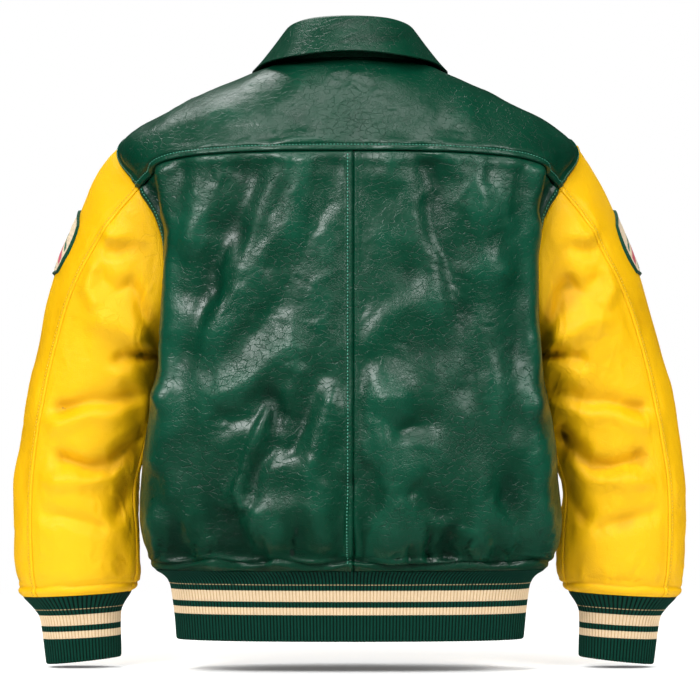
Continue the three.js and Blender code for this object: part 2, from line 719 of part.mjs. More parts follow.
// The neck seam of one side from the centre back to the collar's end, with the body's normals
function neckSeam(back, front, side) {
  const seam = [];
  const take = ({ points, normals }, j, share) => {
    const p = points[TOP][j];
    const up = p.clone().sub(points[TOP - 1][j]).normalize();
    seam.push({ p, n: normals[TOP][j], up, share, side });
  };
  for (let j = 0; j <= BACK_COLUMNS; j++) take(back, j, (0.5 * j) / BACK_COLUMNS);
  for (let j = 1; j <= FRONT_COLUMNS + 1; j++) take(front, j, 0.5 + (0.5 * j) / (FRONT_COLUMNS + 1));
  return seam;
}

// One section of the collar, from the neck seam over the roll to the fall's edge
function collarSection({ p, n, up, share, side }) {
  const s = collarStation(share);
  const roll = new THREE.Vector3(side * s.roll_x, s.roll_y, s.roll_z);
  const edge = new THREE.Vector3(side * s.edge_x, s.edge_y, s.edge_z);
  const out = edge.clone().sub(roll).setZ(0).normalize();
  const start = p.clone().addScaledVector(up, SEAM_GAP + 0.3).addScaledVector(n, -LEATHER / 2);
  const crest = roll.clone().addScaledVector(out, ROLL_WIDTH / 2).setZ(roll.z + ROLL_HEIGHT);
  const over = roll.clone().addScaledVector(out, ROLL_WIDTH);
  const fall = (t) => over.clone().lerp(edge, t);
  return [start, start.clone().lerp(roll, 0.5), roll, crest, over, fall(0.35), fall(0.7), edge];
}

function addCollar() {
  const left = neckSeam(body.backLeft, body.frontLeft, -1).reverse();
  const right = neckSeam(body.backRight, body.frontRight, 1).slice(1);
  const seam = [...left, ...right];
  const points = seam.map(collarSection);
  const normals = points.map((line, i) =>
    line.map((p, j) => {
      if (j === 0) return seam[i].n.clone().negate();
      const down = line[Math.min(line.length - 1, j + 1)].clone().sub(line[j - 1]);
      const along = points[Math.min(points.length - 1, i + 1)][j].clone().sub(points[Math.max(0, i - 1)][j]);
      return along.cross(down).normalize();
    }),
  );
  const piece = { points, normals };
  const geometry = wallGeometry(offset(piece, COLLAR_WALL / 2), offset(piece, -COLLAR_WALL / 2));
  addMesh("collar", geometry, GREEN, 0.35);
}

// Snap caps along the lapped front and one on the hem band
const SNAP_RADIUS = 7.5;
const SNAP_HEIGHT = 3;
const SNAP_SEGMENTS = 10;
const SNAP_HEIGHTS = [-98, -182, -266, -350, -434, -518];
const HEM_SNAP_Z = -640;

// The outer depth of the lapped front or the hem band at the centre front, and its slope
function frontAt(z) {
  const rows = body.frontLeft.points.map((row) => row[FRONT_COLUMNS + 1]);
  const bands = HEM.map((s) => new THREE.Vector3(0, s.front_y + RIB_HEIGHT, s.z)).reverse();
  const line = z > HEM[0].z ? rows : bands;
  const k = line.findIndex((p) => p.z > z);
  const a = line[k - 1];
  const b = line[k];
  return { y: mix(a.y, b.y, (z - a.z) / (b.z - a.z)), slope: Math.atan2(a.y - b.y, b.z - a.z) };
}

const SNAP_GAP = 0.7;

function addSnap(number, z) {
  const front = frontAt(z);
  const profile = [
    [0, 0],
    [SNAP_RADIUS, 0],
    [SNAP_RADIUS * 0.96, SNAP_HEIGHT * 0.5],
    [SNAP_RADIUS * 0.45, SNAP_HEIGHT],
    [0, SNAP_HEIGHT],
  ].map(([x, y]) => new THREE.Vector2(x, y));
  const mesh = addMesh("snap_" + number, new THREE.LatheGeometry(profile, SNAP_SEGMENTS), METAL, 0.3, 0.9);
  mesh.position.set(0, front.y + SNAP_GAP, z);
  mesh.rotation.x = front.slope;
}

// A sewn-on patch lies on the upper sleeve and follows its facets
const PATCH_THICKNESS = 1.8;
const PATCH_LIFT = 0.6;
const PATCH_OUTLINE = table("column top bottom", [
  [10.4, 3.45, 5.3],
  [11, 3.28, 5.6],
  [12, 3.24, 5.85],
  [13, 3.28, 5.6],
  [13.6, 3.45, 5.3],
]);

function facetPoint(grid, i, j) {
  const i0 = Math.floor(i);
  const j0 = Math.floor(j);
  const u = i - i0;
  const v = j - j0;
  const corner = v >= u ? grid[i0][j0 + 1] : grid[i0 + 1][j0];
  const a = grid[i0][j0];
  const c = grid[i0 + 1][j0 + 1];
  const toCorner = Math.abs(v - u);
  const toEnd = Math.min(u, v);
  const point = a.clone().multiplyScalar(1 - toCorner - toEnd);
  return point.addScaledVector(corner, toCorner).addScaledVector(c, toEnd);
}

function addPatches() {
  for (const name of ["left", "right"]) {
    const sleeveGrids = sleeves[name];
    const pick = (grid) =>
      [(edge) => edge.top, () => 4, () => 5, (edge) => edge.bottom].map((rowOfEdge) =>
        PATCH_OUTLINE.map((edge) => facetPoint(grid, rowOfEdge(edge), edge.column)),
      );
    const points = pick(sleeveGrids.points);
    const normals = pick(sleeveGrids.normals).map((row) => row.map((n) => n.normalize()));
    const piece = { points, normals };
    const geometry = wallGeometry(offset(piece, PATCH_LIFT + PATCH_THICKNESS), offset(piece, PATCH_LIFT));
    addMesh("patch_" + name, geometry, PATCH_CREAM, 0.95);
  }
}

addBody();
addSleeves();
addCuffs();
addHem();
addCollar();
SNAP_HEIGHTS.forEach((z, k) => addSnap(k + 1, z));
addSnap(SNAP_HEIGHTS.length + 1, HEM_SNAP_Z);
addPatches();

export default jacket;
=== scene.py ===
"""A leather varsity jacket, filled out as worn and seen from behind.
Lengths are millimetres until a mesh is made, which turns them into metres. The depths of bumps
and the studio are in metres."""
import math

import bmesh
import bpy
import numpy as np
from mathutils import Matrix, Vector

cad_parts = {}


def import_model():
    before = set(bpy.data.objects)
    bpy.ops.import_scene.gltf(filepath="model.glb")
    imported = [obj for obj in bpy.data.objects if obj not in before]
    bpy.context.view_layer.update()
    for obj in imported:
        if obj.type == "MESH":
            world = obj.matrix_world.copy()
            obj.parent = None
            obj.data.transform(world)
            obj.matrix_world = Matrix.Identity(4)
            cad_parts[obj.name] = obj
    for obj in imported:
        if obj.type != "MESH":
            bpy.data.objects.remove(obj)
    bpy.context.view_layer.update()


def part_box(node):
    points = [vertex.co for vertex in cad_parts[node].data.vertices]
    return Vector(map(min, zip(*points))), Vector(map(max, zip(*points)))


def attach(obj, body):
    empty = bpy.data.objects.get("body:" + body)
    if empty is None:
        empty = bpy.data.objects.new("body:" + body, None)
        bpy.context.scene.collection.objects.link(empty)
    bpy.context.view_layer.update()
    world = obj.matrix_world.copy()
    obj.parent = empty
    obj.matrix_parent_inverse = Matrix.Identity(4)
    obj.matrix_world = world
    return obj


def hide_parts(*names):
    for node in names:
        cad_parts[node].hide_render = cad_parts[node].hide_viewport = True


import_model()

MM = 0.001


# Tables and curves

def table(columns, rows):
    """One array for each named column"""
    return {name: np.array(cells) for name, cells in zip(columns.split(), zip(*rows))}


def smooth(t):
    s = np.clip(t, 0, 1)
    return s * s * (3 - 2 * s)


def mix(a, b, t):
    return a + (b - a) * t


def unit(v):
    return v / np.maximum(np.linalg.norm(v, axis=-1, keepdims=True), 1e-9)


def hump(distance, place, half):
    """A soft rise from 0 to 1 round a distance"""
    return np.exp(-(((distance - place) / half) ** 2))


def spline(a, b, c, d, t):
    """A smooth curve from b to c, whose ends head the way of their neighbours a and d"""
    return b + 0.5 * t * (c - a + t * (2 * a - 5 * b + 4 * c - d + t * (3 * (b - c) + d - a)))


# Sections of the body from the hem up, as in the part: heights at the centre back, the side and the
# centre front, half width, depths, fullness of the curve, depths where the back and the front end,
# how late a row drops to its corners, and how far it leans in x. steps is the part's number of rows up
# to the next section, and size and count are the length and the number of even steps up to it here.
BODY_COLUMNS = "name steps size count z_back z_side z_front width side_y back_y front_y full_b full_f"
BODY = table(BODY_COLUMNS + " edge_b edge_f late lean", [
    ("hem_edge", 1, 9.5, 7, -590, -590, -590, 225, -38, -110, 106, 2.4, 2.3, 8, 8, 0, 0),
    ("welt_belly", 1, 10, 8, -581, -580, -580, 231, -40, -120, 113, 2.4, 2.3, 8, 8, 0, 0),
    ("welt_crease", 1, 15, 8, -571, -570, -570, 232, -42, -120, 112, 2.5, 2.3, 8, 8, 0, 0),
    ("gather", 1, 24, 10, -556, -556, -556, 237, -46, -133, 120, 2.5, 2.3, 8, 8, 0, 0),
    ("blouse", 2, 42, 16, -532, -532, -532, 241, -50, -144, 127, 2.6, 2.3, 8, 8, 0, 0),
    ("bulge", 2, 50, 19, -490, -490, -490, 239.5, -54, -150, 130, 2.7, 2.3, 8, 8, 0, 0),
    ("waist", 2, 50, 19, -440, -440, -440, 234, -55, -149, 132, 2.8, 2.3, 8, 8, 0, 0),
    ("low_chest", 2, 55, 20, -390, -390, -390, 226, -56, -147, 133, 2.9, 2.3, 8, 8, 0, 0),
    ("underarm", 3, 62, 18, -335, -335, -335, 215, -56, -143, 132, 3.0, 2.5, 8, 8, 0, 0),
    ("arm_low", 3, 79, 29, -285, -290, -290, 213, -56, -140, 130, 3.0, 2.8, -52, 58, 0, 0),
    ("arm_mid", 3, 85, 27, -206, -215, -232, 214, -52, -136, 126, 3.0, 3.0, -60, 68, 0.5, 0),
    ("yoke_seam", 3, 55, 18, -112.5, -156, -192, 243, -36, -129, 119, 2.8, 2.8, -55, 55, 0.67, -1),
    ("shoulder", 3, 80, 28, -82, -101, -150, 264, 4, -118, 108, 2.4, 2.4, 4, 4, 0, -3),
    ("mid_shoulder", 3, 80, 28, -44, -49, -112, 180.5, 2, -98, 96, 2.2, 2.3, 2, 2, 0, -4),
    ("neck", 0, 0, 0, -6, -8, -75, 88, 0, -72, 82, 2.1, 2.1, 0, 0, 0, 0),
])
CLOSE_ROWS = ("yoke_seam", "underarm")

# Sections of a sleeve from the armhole to the knit: its outer and inner points seen from behind,
# the depth of its middle, half its depth, and how far it leans in x
SLEEVE = table("name steps size count outer_x outer_z inner_x inner_z mid_y half_y lean", [
    ("armhole", 2, 34, 9, 264, -101, 207, -335, 0, 62, -3),
    ("cap", 2, 46, 18, 292, -141, 222, -349, 3, 66, -3),
    ("upper", 2, 48, 18, 319.5, -198, 222, -365, 8, 68, -4),
    ("bicep", 2, 48, 18, 342, -257, 223, -384, 13, 68, -3),
    ("over_elbow", 2, 50, 18, 358, -315, 224, -406, 17, 68, -2),
    ("elbow", 2, 50, 18, 371.5, -372, 229, -436, 17, 67, -1.5),
    ("under_elbow", 2, 50, 18, 382, -431, 238, -469, 15, 66, -1),
    ("forearm", 2, 52, 19, 389, -490, 246, -503, 13, 64, 0),
    ("low_forearm", 2, 45, 17, 391, -545, 243, -549, 12, 63, 0),
    ("blouse", 1, 15, 8, 389, -592, 242, -590, 12, 60, 0),
    ("crease", 1, 8, 6, 386, -608, 244, -603, 12, 56, 0),
    ("roll", 1, 9, 8, 386, -616, 246, -610, 12, 56, 0),
    ("sleeve_edge", 0, 0, 0, 380, -625, 254, -618, 12, 51, 0),
])
CUFF = table("name size outer_x outer_z inner_x inner_z mid_y half_y lean", [
    ("top", 15, 379.5, -625.6, 254.5, -618.6, 12, 50, 0),
    ("neck", 15, 365.5, -640, 265, -635, 12, 39, 0),
    ("waist", 48, 358.5, -655, 267.5, -650, 13, 33, 0),
    ("bottom", 0, 352.5, -704, 267, -695, 16, 29, 0),
])
HEM = table("name size z width side_y back_y front_y full", [
    ("top", 18, -590.5, 224, -38, -109.5, 105.5, 2.35),
    ("neck", 63, -608, 206.5, -35, -100, 98, 2.35),
    ("bottom", 0, -671, 199, -32, -97, 96, 2.35),
])
COLLAR = table("share roll_x roll_y roll_z edge_x edge_y edge_z", [
    (-0.25, -46.5, -48, 35.5, -69, -79, -4),
    (0, 0, -60, 38.5, 0, -96, 2),
    (0.25, 46.5, -48, 35.5, 69, -79, -4),
    (0.5, 68, -2, 25, 107, -2, -12),
    (0.75, 55, 38, 4, 110, 46, -33),
    (1, 7, 79, -60, 76, 122, -138),
])

# Folds: half width and height of a soft ridge (or a trough, below 0), and the x and z of its line
BACK_FOLDS = [
    (12, 10, (-209, -139), (-202, -190), (-202, -250), (-206, -397)),
    (17, 8, (-206, -397), (-220, -559)),
    (11, -10.5, (-230, -141), (-225, -205)),
    (19, 7, (-46, -128), (-60, -170), (-137, -315)),
    (15.5, 6, (-78, -124), (-118, -222), (-157, -321)),
    (17.5, 7, (-141, -124), (-148, -165), (-180, -217)),
    (14.5, 5, (-168, -118), (-183, -205)),
    (18, -6.5, (-116, -141), (-168, -281)),
    (20, -4, (-29, -165), (-102, -315)),
    (15.5, 6, (-162, -221), (-179, -262), (-190, -318)),
    (20, 7.5, (-58, -333), (-157, -414)),
    (15.5, -8.5, (-148, -418), (-95, -399)),
    (6.5, 10, (-94, -409), (-112, -460), (-129, -499), (-126, -516)),
    (14.5, -9.5, (-82, -414), (-116, -501)),
    (13, 6, (-58, -368), (-81, -431)),
    (15.5, -6, (-37, -373), (-70, -443)),
    (17.5, 8.5, (-23, -402), (-46, -478), (-41, -536)),
    (11, -7, (-6, -489), (-20, -582)),
    (17, 7, (-102, -513), (-46, -524)),
    (14.5, -8.5, (-133, -530), (-102, -588)),
    (19, -7, (-145, -478), (-180, -582)),
    (5, -6, (-95, -553), (-97, -589)),
    (14.5, -8, (-215, -489), (-191, -582)),
    (19, 6, (-186, -536), (-157, -588)),
    (14.5, 10, (210, -139), (208, -260), (206, -397)),
    (17, 8, (206, -397), (222, -559)),
    (11, -10.5, (229, -141), (226, -205)),
    (19, 7, (104, -116), (139, -170), (165, -246)),
    (15.5, 4, (139, -118), (153, -182)),
    (14.5, 5, (180, -130), (172, -199)),
    (16, -7, (87, -130), (116, -269), (151, -397), (197, -559)),
    (19, 5, (122, -281), (180, -443)),
    (19, 5, (52, -107), (41, -136)),
    (18, 4, (29, -315), (81, -281)),
    (19.5, 7, (46, -397), (41, -420)),
    (15.5, -8.5, (52, -426), (87, -420)),
    (17.5, 8.5, (38, -443), (44, -489), (60, -513)),
    (15.5, -6, (72, -501), (93, -524)),
    (14.5, -7, (17, -478), (25, -565)),
    (5, -6, (70, -559), (72, -589)),
    (5, -6, (86, -547), (90, -589)),
    (13, -8.5, (162, -547), (165, -589)),
    (6, -6, (191, -559), (186, -589)),
    (17, 7, (-76, -556), (-72, -562)),
    (15.5, 6.5, (-38, -552), (-34, -558)),
    (18, 7, (-104, -534), (-84, -540)),
    (15.5, 6, (-150, -556), (-146, -562)),
    (17, 6, (48, -552), (52, -558)),
    (16, 7, (112, -538), (122, -546)),
    (15.5, 6, (150, -558), (152, -562)),
    (22, 6, (36, -385), (44, -392)),
]
FRONT_FOLDS = [
    (16, 6, (-150, -190), (-120, -330)),
    (17, -5, (-95, -260), (-60, -400)),
    (17, 6, (-180, -370), (-150, -520)),
    (14, -6, (-60, -430), (-90, -570)),
    (12, 6, (-120, -470), (-130, -580)),
    (16, 6, (150, -185), (118, -345)),
    (17, -5, (100, -250), (70, -380)),
    (17, 6, (185, -380), (140, -530)),
    (14, -6, (66, -440), (96, -575)),
    (12, 6, (128, -480), (120, -582)),
]
SLEEVE_BACK_FOLDS = [
    (11, 8, (272, -204), (220, -211)),
    (9, -6.5, (273, -223), (219, -219)),
    (9, 6.5, (296, -246), (299, -268), (291, -284)),
    (11, -5, (288, -250), (272, -266)),
    (11, -9, (255, -265), (222, -304)),
    (17, 10.5, (280, -308), (228, -333)),
    (10, -13, (238, -344), (200, -342)),
    (8, -6, (264, -347), (200, -342)),
    (13, 8, (262, -368), (220, -385)),
    (13, -10, (333, -406), (302, -402), (232, -384)),
    (13, 8, (336, -426), (244, -397)),
    (11, -13, (328, -466), (278, -472), (244, -437)),
    (13, 6.5, (336, -490), (255, -478)),
    (11, -10.5, (269, -524), (244, -461)),
    (10, -6.5, (348, -530), (290, -542)),
]
SLEEVE_FRONT_FOLDS = [
    (13, -7, (290, -250), (236, -270)),
    (15, 7, (300, -285), (240, -318)),
    (13, -10, (318, -350), (244, -366)),
    (15, 8, (330, -392), (250, -402)),
    (13, -9, (345, -440), (258, -452)),
    (13, -6, (340, -500), (268, -508)),
]


def section_at(sections, place):
    """Every number of the sections at fractional places, on a smooth curve"""
    last = len(next(iter(sections.values()))) - 1
    k = np.clip(np.floor(place).astype(int), 0, last - 1)
    made = {}
    for key, values in sections.items():
        if key not in ("name", "steps", "size", "count"):
            near = [values[np.clip(k + step, 0, last)] for step in (-1, 0, 1, 2)]
            made[key] = spline(*near, place - k)
    return made


def coarse_rows(sections, place):
    """The part's own row number at fractional places along the sections"""
    starts = np.concatenate([[0], np.cumsum(sections["steps"])])
    k = np.clip(np.floor(place).astype(int), 0, len(sections["steps"]) - 1)
    return starts[k] + (place - k) * sections["steps"][k]


NEAR_SEAM = np.array([0, 0.5, 1.1, 1.8, 2.6, 3.5, 4.4, 5.3, 6.2, 7.1, 8, 9, 10.2, 11.8])


def spaced(total, count, first, last):
    """Distances from 0 to the total, close together beside a seam and even elsewhere"""
    start = NEAR_SEAM if first else NEAR_SEAM[:1]
    end = total - NEAR_SEAM[::-1] if last else np.array([total])
    between = np.linspace(start[-1], end[0], count + 1)[1:-1]
    return np.concatenate([start, between, end])


def places(sections, close, first=False):
    """Fractional places along the sections, close together at the ones that are seams"""
    found = []
    names = list(sections["name"])
    for k in range(len(names) - 1):
        size = sections["size"][k]
        starts = names[k] in close or (first and k == 0)
        along = spaced(size, sections["count"][k], starts, names[k + 1] in close) / size
        found.extend(k + along[:-1])
    return np.array(found + [len(names) - 1.0])


def arc_along(points, axis=1):
    """Length along each row or column of a grid from its first point"""
    shift = np.diff(points, axis=axis, prepend=np.take(points, [0], axis=axis))
    return np.cumsum(np.linalg.norm(shift, axis=2), axis=axis)


def along_rows(points, wanted):
    """Points at wanted lengths along each row of points"""
    made = []
    for row, length in zip(points, arc_along(points)):
        at = wanted(length[-1])
        made.append(np.stack([np.interp(at, length, row[:, k]) for k in range(3)], axis=-1))
    return np.array(made)


NOISE_CELLS = 64


def lattice_noise(x, y, seed):
    """Smooth noise from -1 to 1 with waves about two units long"""
    values = np.random.default_rng(seed).uniform(-1, 1, (NOISE_CELLS, NOISE_CELLS))
    i = np.floor(x).astype(int)
    j = np.floor(y).astype(int)
    u = smooth(x - i)

    def value_at(i, j):
        return values[i % NOISE_CELLS, j % NOISE_CELLS]

    low = mix(value_at(i, j), value_at(i + 1, j), u)
    high = mix(value_at(i, j + 1), value_at(i + 1, j + 1), u)
    return mix(low, high, smooth(y - j))


def creases(x, y, length, width, turn, seed):
    """Ridged noise from 0 to 1 whose ridges run along a direction"""
    a = x * math.cos(turn) + y * math.sin(turn)
    b = y * math.cos(turn) - x * math.sin(turn)
    b = b + 0.5 * width * lattice_noise(a / width, b / width, seed + 1)
    return 1 - np.abs(lattice_noise(a / length, b / width, seed)) * 2


WANDER = 5
WANDER_LENGTH = 30


def fold_height(folds, x, z):
    """How far a set of folds moves points at x and z"""
    height = np.zeros_like(x)
    wave_x = x + WANDER * lattice_noise(x / WANDER_LENGTH, z / WANDER_LENGTH, 5)
    wave_z = z + WANDER * lattice_noise(x / WANDER_LENGTH, z / WANDER_LENGTH, 6)
    for half, rise, *line in folds:
        offs = []
        for (x0, z0), (x1, z1) in zip(line, line[1:]):
            dx = x1 - x0
            dz = z1 - z0
            along = np.clip(((wave_x - x0) * dx + (wave_z - z0) * dz) / (dx * dx + dz * dz), 0, 1)
            offs.append(np.hypot(wave_x - x0 - along * dx, wave_z - z0 - along * dz))
        height += rise * hump(np.minimum.reduce(offs), 0, half)
    return height


# The body's surface

LEATHER = 2.5
LAP_GAP = 0.9
LAP_REACH = 17
LAP_FLAT = 21
LAP_FADE = 24
BACK_SEAM_X = 3.5
BACK_SEAM_REACH = 2 / 11
EARLY_DROP = 3
LATE_DROP = 18
LAP_BLEND = 15
LAP_END = np.array([1.3, 2.3, 3, 3.6, 4])
FOLD_SIDEWAYS = 0.4
FOLD_DEPTHWAYS = 1.6
HEM_HOLD = 1
HEM_FADE = 16
TURN_FADE = 50
FRONT_CALM_DEPTH = 60
FRONT_CALM_WIDTH = 60
YOKE_CALM_ROWS = 3
CHEST_CALM_ROWS = 12
QUARTER_STEPS = 78
CURVE_STEPS = 400

body_places = places(BODY, CLOSE_ROWS)
body_rows = {key: v[:, None] for key, v in section_at(BODY, body_places).items()}
body_coarse = coarse_rows(BODY, body_places)


def row_of(name):
    return int(np.argmin(np.abs(body_places - list(BODY["name"]).index(name))))


UNDERARM, YOKE_SEAM, SHOULDER = (row_of(name) for name in ("underarm", "yoke_seam", "shoulder"))
TOP = len(body_places) - 1


def body_point(s, angle, side):
    """A point of a body section at an angle from the centre back to the centre front"""
    cosine = np.cos(angle)
    front = cosine < 0
    power = 2 / np.where(front, s["full_f"], s["full_b"])
    share = np.abs(np.sin(angle)) ** power
    deep = np.abs(cosine) ** power
    y = s["side_y"] + np.where(front, s["front_y"] - s["side_y"], s["back_y"] - s["side_y"]) * deep
    drop = mix(share ** EARLY_DROP, share ** LATE_DROP, s["late"])
    rise = (s["z_front"] - s["z_side"]) * cosine ** 2
    lift = np.where(front, rise, (s["z_back"] - s["z_side"]) * (1 - drop))
    return np.stack([side * s["width"] * share + s["lean"] * share ** 2, y, s["z_side"] + lift], axis=-1)


def angle_at_depth(s, y):
    front = y > s["side_y"]
    share = (y - s["side_y"]) / np.where(front, s["front_y"] - s["side_y"], s["back_y"] - s["side_y"])
    cosine = np.clip(share, 0, 1) ** (np.where(front, s["full_f"], s["full_b"]) / 2)
    return np.where(front, math.pi - np.arccos(cosine), np.arccos(cosine))


def fold_out(points, s):
    """The way a fold of the body stands out: mostly forwards or backwards"""
    x = points[..., 0] * FOLD_SIDEWAYS
    y = (points[..., 1] - s["side_y"]) * FOLD_DEPTHWAYS
    return unit(np.stack([x, y, np.zeros_like(x)], axis=-1))


def steps_from(start, end):
    return start + (end - start) * np.linspace(0, 1, CURVE_STEPS)


def above_hem(points):
    """From 0 at the leather's lower edge, where it meets the knit, to 1 where folds are free"""
    return smooth((points[..., 2] - points[0, :, 2] - HEM_HOLD) / HEM_FADE)


above_shoulder = np.arange(TOP + 1)[:, None] >= SHOULDER


def back_quarter(side):
    s = body_rows
    edge = np.where(above_shoulder, math.pi / 2, angle_at_depth(s, s["edge_b"]))
    curve = body_point(s, steps_from(0 * edge, edge), side)
    points = along_rows(curve, lambda total: spaced(total, QUARTER_STEPS, True, True))
    arc = arc_along(points)
    points[..., 0] += BACK_SEAM_X * np.clip(1 - arc / arc[:, -1:] / BACK_SEAM_REACH, 0, 1)
    calm = 1 - smooth((body_coarse - body_coarse[YOKE_SEAM]) / YOKE_CALM_ROWS)[:, None]
    turned = smooth((s["side_y"] - points[..., 1]) / TURN_FADE)
    rise = calm * turned * above_hem(points) * fold_height(BACK_FOLDS, points[..., 0], points[..., 2])
    return points + fold_out(points, s) * rise[..., None]


def front_quarter(side, beneath):
    s = body_rows
    edge = np.where(above_shoulder, math.pi / 2, angle_at_depth(s, s["edge_f"]))
    flat = math.pi - np.arcsin((LAP_FLAT / s["width"]) ** (s["full_f"] / 2))
    curve = body_point(s, steps_from(edge, flat), side)
    points = along_rows(curve, lambda total: spaced(total, QUARTER_STEPS, True, False))
    calm = 1 - smooth((body_coarse - body_coarse[UNDERARM]) / CHEST_CALM_ROWS)[:, None]
    near = smooth((np.abs(points[..., 0]) - LAP_FLAT) / FRONT_CALM_WIDTH)
    turned = smooth((points[..., 1] - s["side_y"] - FRONT_CALM_DEPTH) / TURN_FADE)
    rise = calm * near * turned * above_hem(points)
    rise = rise * fold_height(FRONT_FOLDS, points[..., 0], points[..., 2])
    points = points + fold_out(points, s) * rise[..., None]
    turn = LAP_END[-1] - LAP_REACH
    reach = np.concatenate([np.linspace(LAP_FLAT, turn, 14), turn - LAP_END])[1:]
    share = np.clip((LAP_FLAT - reach) / LAP_BLEND, 0, 1)[None, :, None]
    middle = body_point(s, np.full_like(edge, math.pi), side)
    lap = mix(points[:, -1:], middle, share)
    lap[..., 0] = side * reach
    points = np.concatenate([points, lap], axis=1)
    if beneath:
        held = smooth((LAP_FLAT + LAP_FADE - side * points[..., 0]) / LAP_FADE)
        points[..., 1] -= (LEATHER + LAP_GAP) * held
    return points


def normals_of(points, middle, closed=False):
    """Unit normals of a grid of points, pointing away from its middle"""
    across = np.gradient(points, axis=1)
    if closed:
        across = np.roll(points, -1, axis=1) - np.roll(points, 1, axis=1)
    normals = unit(np.cross(across, np.gradient(points, axis=0)))
    return normals * np.sign(np.sum(normals * (points - middle)))


def share_normals(pairs):
    """Gives borders that are sewn together the mean of their normals"""
    for (a, a_place), (b, b_place) in pairs:
        mean = unit(a["normals"][a_place] + b["normals"][b_place])
        a["normals"][a_place] = mean
        b["normals"][b_place] = mean


# A point inside the body for each of its rows, lower down for those above the underarm
MIDDLE_DROP = 60
body_middle = np.zeros((TOP + 1, 1, 3))
body_middle[:, 0, 2] = (body_rows["z_back"] + body_rows["z_front"])[:, 0] / 2
body_middle[UNDERARM + 1 :, 0, 2] -= MIDDLE_DROP


def quarter(points):
    normals = normals_of(points, body_middle)
    normals[0, :, 2] = 0
    normals[0] = unit(normals[0])
    return {"points": points, "normals": normals}


backs = {side: quarter(back_quarter(side)) for side in (-1, 1)}
fronts = {side: quarter(front_quarter(side, side > 0)) for side in (-1, 1)}
below = slice(0, UNDERARM + 1)
above = slice(SHOULDER, TOP + 1)
share_normals([((backs[-1], (slice(None), 0)), (backs[1], (slice(None), 0)))])
for side in (-1, 1):
    for rows in (below, above):
        share_normals([((backs[side], (rows, -1)), (fronts[side], (rows, 0)))])


# The sleeves' surface

BACK_SEAM_ANGLE = math.radians(47)
INNER_SEAM_ANGLE = math.radians(159)
UNDER_COLUMNS = 9
SLEEVE_COLUMNS = 24
SLEEVE_CLEARANCE = 1.2
NESTLE = 4
NESTLE_Z = -352
NESTLE_HALF = 20
COLUMN_WIDTH = 17
ROW_LENGTH = 24
# Shares of the sleeve's length: where its own seams take over from the armhole, and where its folds
# start and end
SEAMS_SETTLE = 0.45
ARMHOLE_HOLD = 0.3
FOLDS_START = 0.06
FOLDS_END = 0.9
FOLDS_FADE = 0.08


def armhole(side, key):
    """The armhole from the underarm up the back, over the shoulder and down the front"""
    rising = backs[side][key][UNDERARM : SHOULDER + 1, -1]
    falling = fronts[side][key][UNDERARM + 1 : SHOULDER, 0][::-1]
    return np.concatenate([rising, falling])


rising_columns = body_coarse[UNDERARM : SHOULDER + 1] - body_coarse[UNDERARM]
loop_columns = np.concatenate([rising_columns, SLEEVE_COLUMNS - rising_columns[1:-1][::-1]])
SLEEVE_SEAM = YOKE_SEAM - UNDERARM


def sleeve_point(s, angle, side):
    """A point of a sleeve section: angle 0 is outwards, a quarter turn is backwards"""
    x = (s["outer_x"] + s["inner_x"]) / 2 + (s["outer_x"] - s["inner_x"]) / 2 * np.cos(angle)
    z = (s["outer_z"] + s["inner_z"]) / 2 + (s["outer_z"] - s["inner_z"]) / 2 * np.cos(angle)
    y = s["mid_y"] - s["half_y"] * np.sin(angle)
    return np.stack([side * x + s["lean"], y, z], axis=-1)


def armhole_angle(points, s, side):
    dx = (s["outer_x"] - s["inner_x"]) / 2
    dz = (s["outer_z"] - s["inner_z"]) / 2
    x = side * (points[:, 0] - s["lean"]) - (s["outer_x"] + s["inner_x"]) / 2
    z = points[:, 2] - (s["outer_z"] + s["inner_z"]) / 2
    angle = np.arctan2((s["mid_y"] - points[:, 1]) / s["half_y"], (x * dx + z * dz) / (dx * dx + dz * dz))
    late = (loop_columns > SLEEVE_COLUMNS / 2) & (angle > 0)
    whole = np.arange(SLEEVE_COLUMNS)
    known = np.interp(whole, loop_columns, np.where(late, angle - 2 * math.pi, angle))
    known[0] = math.pi
    return np.interp(loop_columns, np.append(whole, SLEEVE_COLUMNS), np.append(known, -math.pi))


def body_reach(y, z):
    """How far the body reaches out in x at a depth and a height"""
    sides = body_rows["z_side"][:, 0]
    k = np.clip(np.searchsorted(sides, z, side="right"), 1, TOP)
    t = np.clip((z - sides[k - 1]) / (sides[k] - sides[k - 1]), 0, None)
    at = {key: mix(v[k - 1, 0], v[k, 0], t) for key, v in body_rows.items()}
    front = y > at["side_y"]
    depth = (y - at["side_y"]) / np.where(front, at["front_y"] - at["side_y"], at["back_y"] - at["side_y"])
    full = np.where(front, at["full_f"], at["full_b"])
    held = np.clip(depth, 0, 1)
    return np.where(depth < 1, at["width"] * (1 - held ** full) ** (1 / full), 0)


lower_angles = np.interp(
    loop_columns,
    [0, UNDER_COLUMNS, SLEEVE_COLUMNS],
    [INNER_SEAM_ANGLE, BACK_SEAM_ANGLE, INNER_SEAM_ANGLE - 2 * math.pi],
)
sleeve_places = places(SLEEVE, (), first=True)
sleeve_rows = {key: v[:, None] for key, v in section_at(SLEEVE, sleeve_places).items()}
sleeve_coarse = coarse_rows(SLEEVE, sleeve_places)


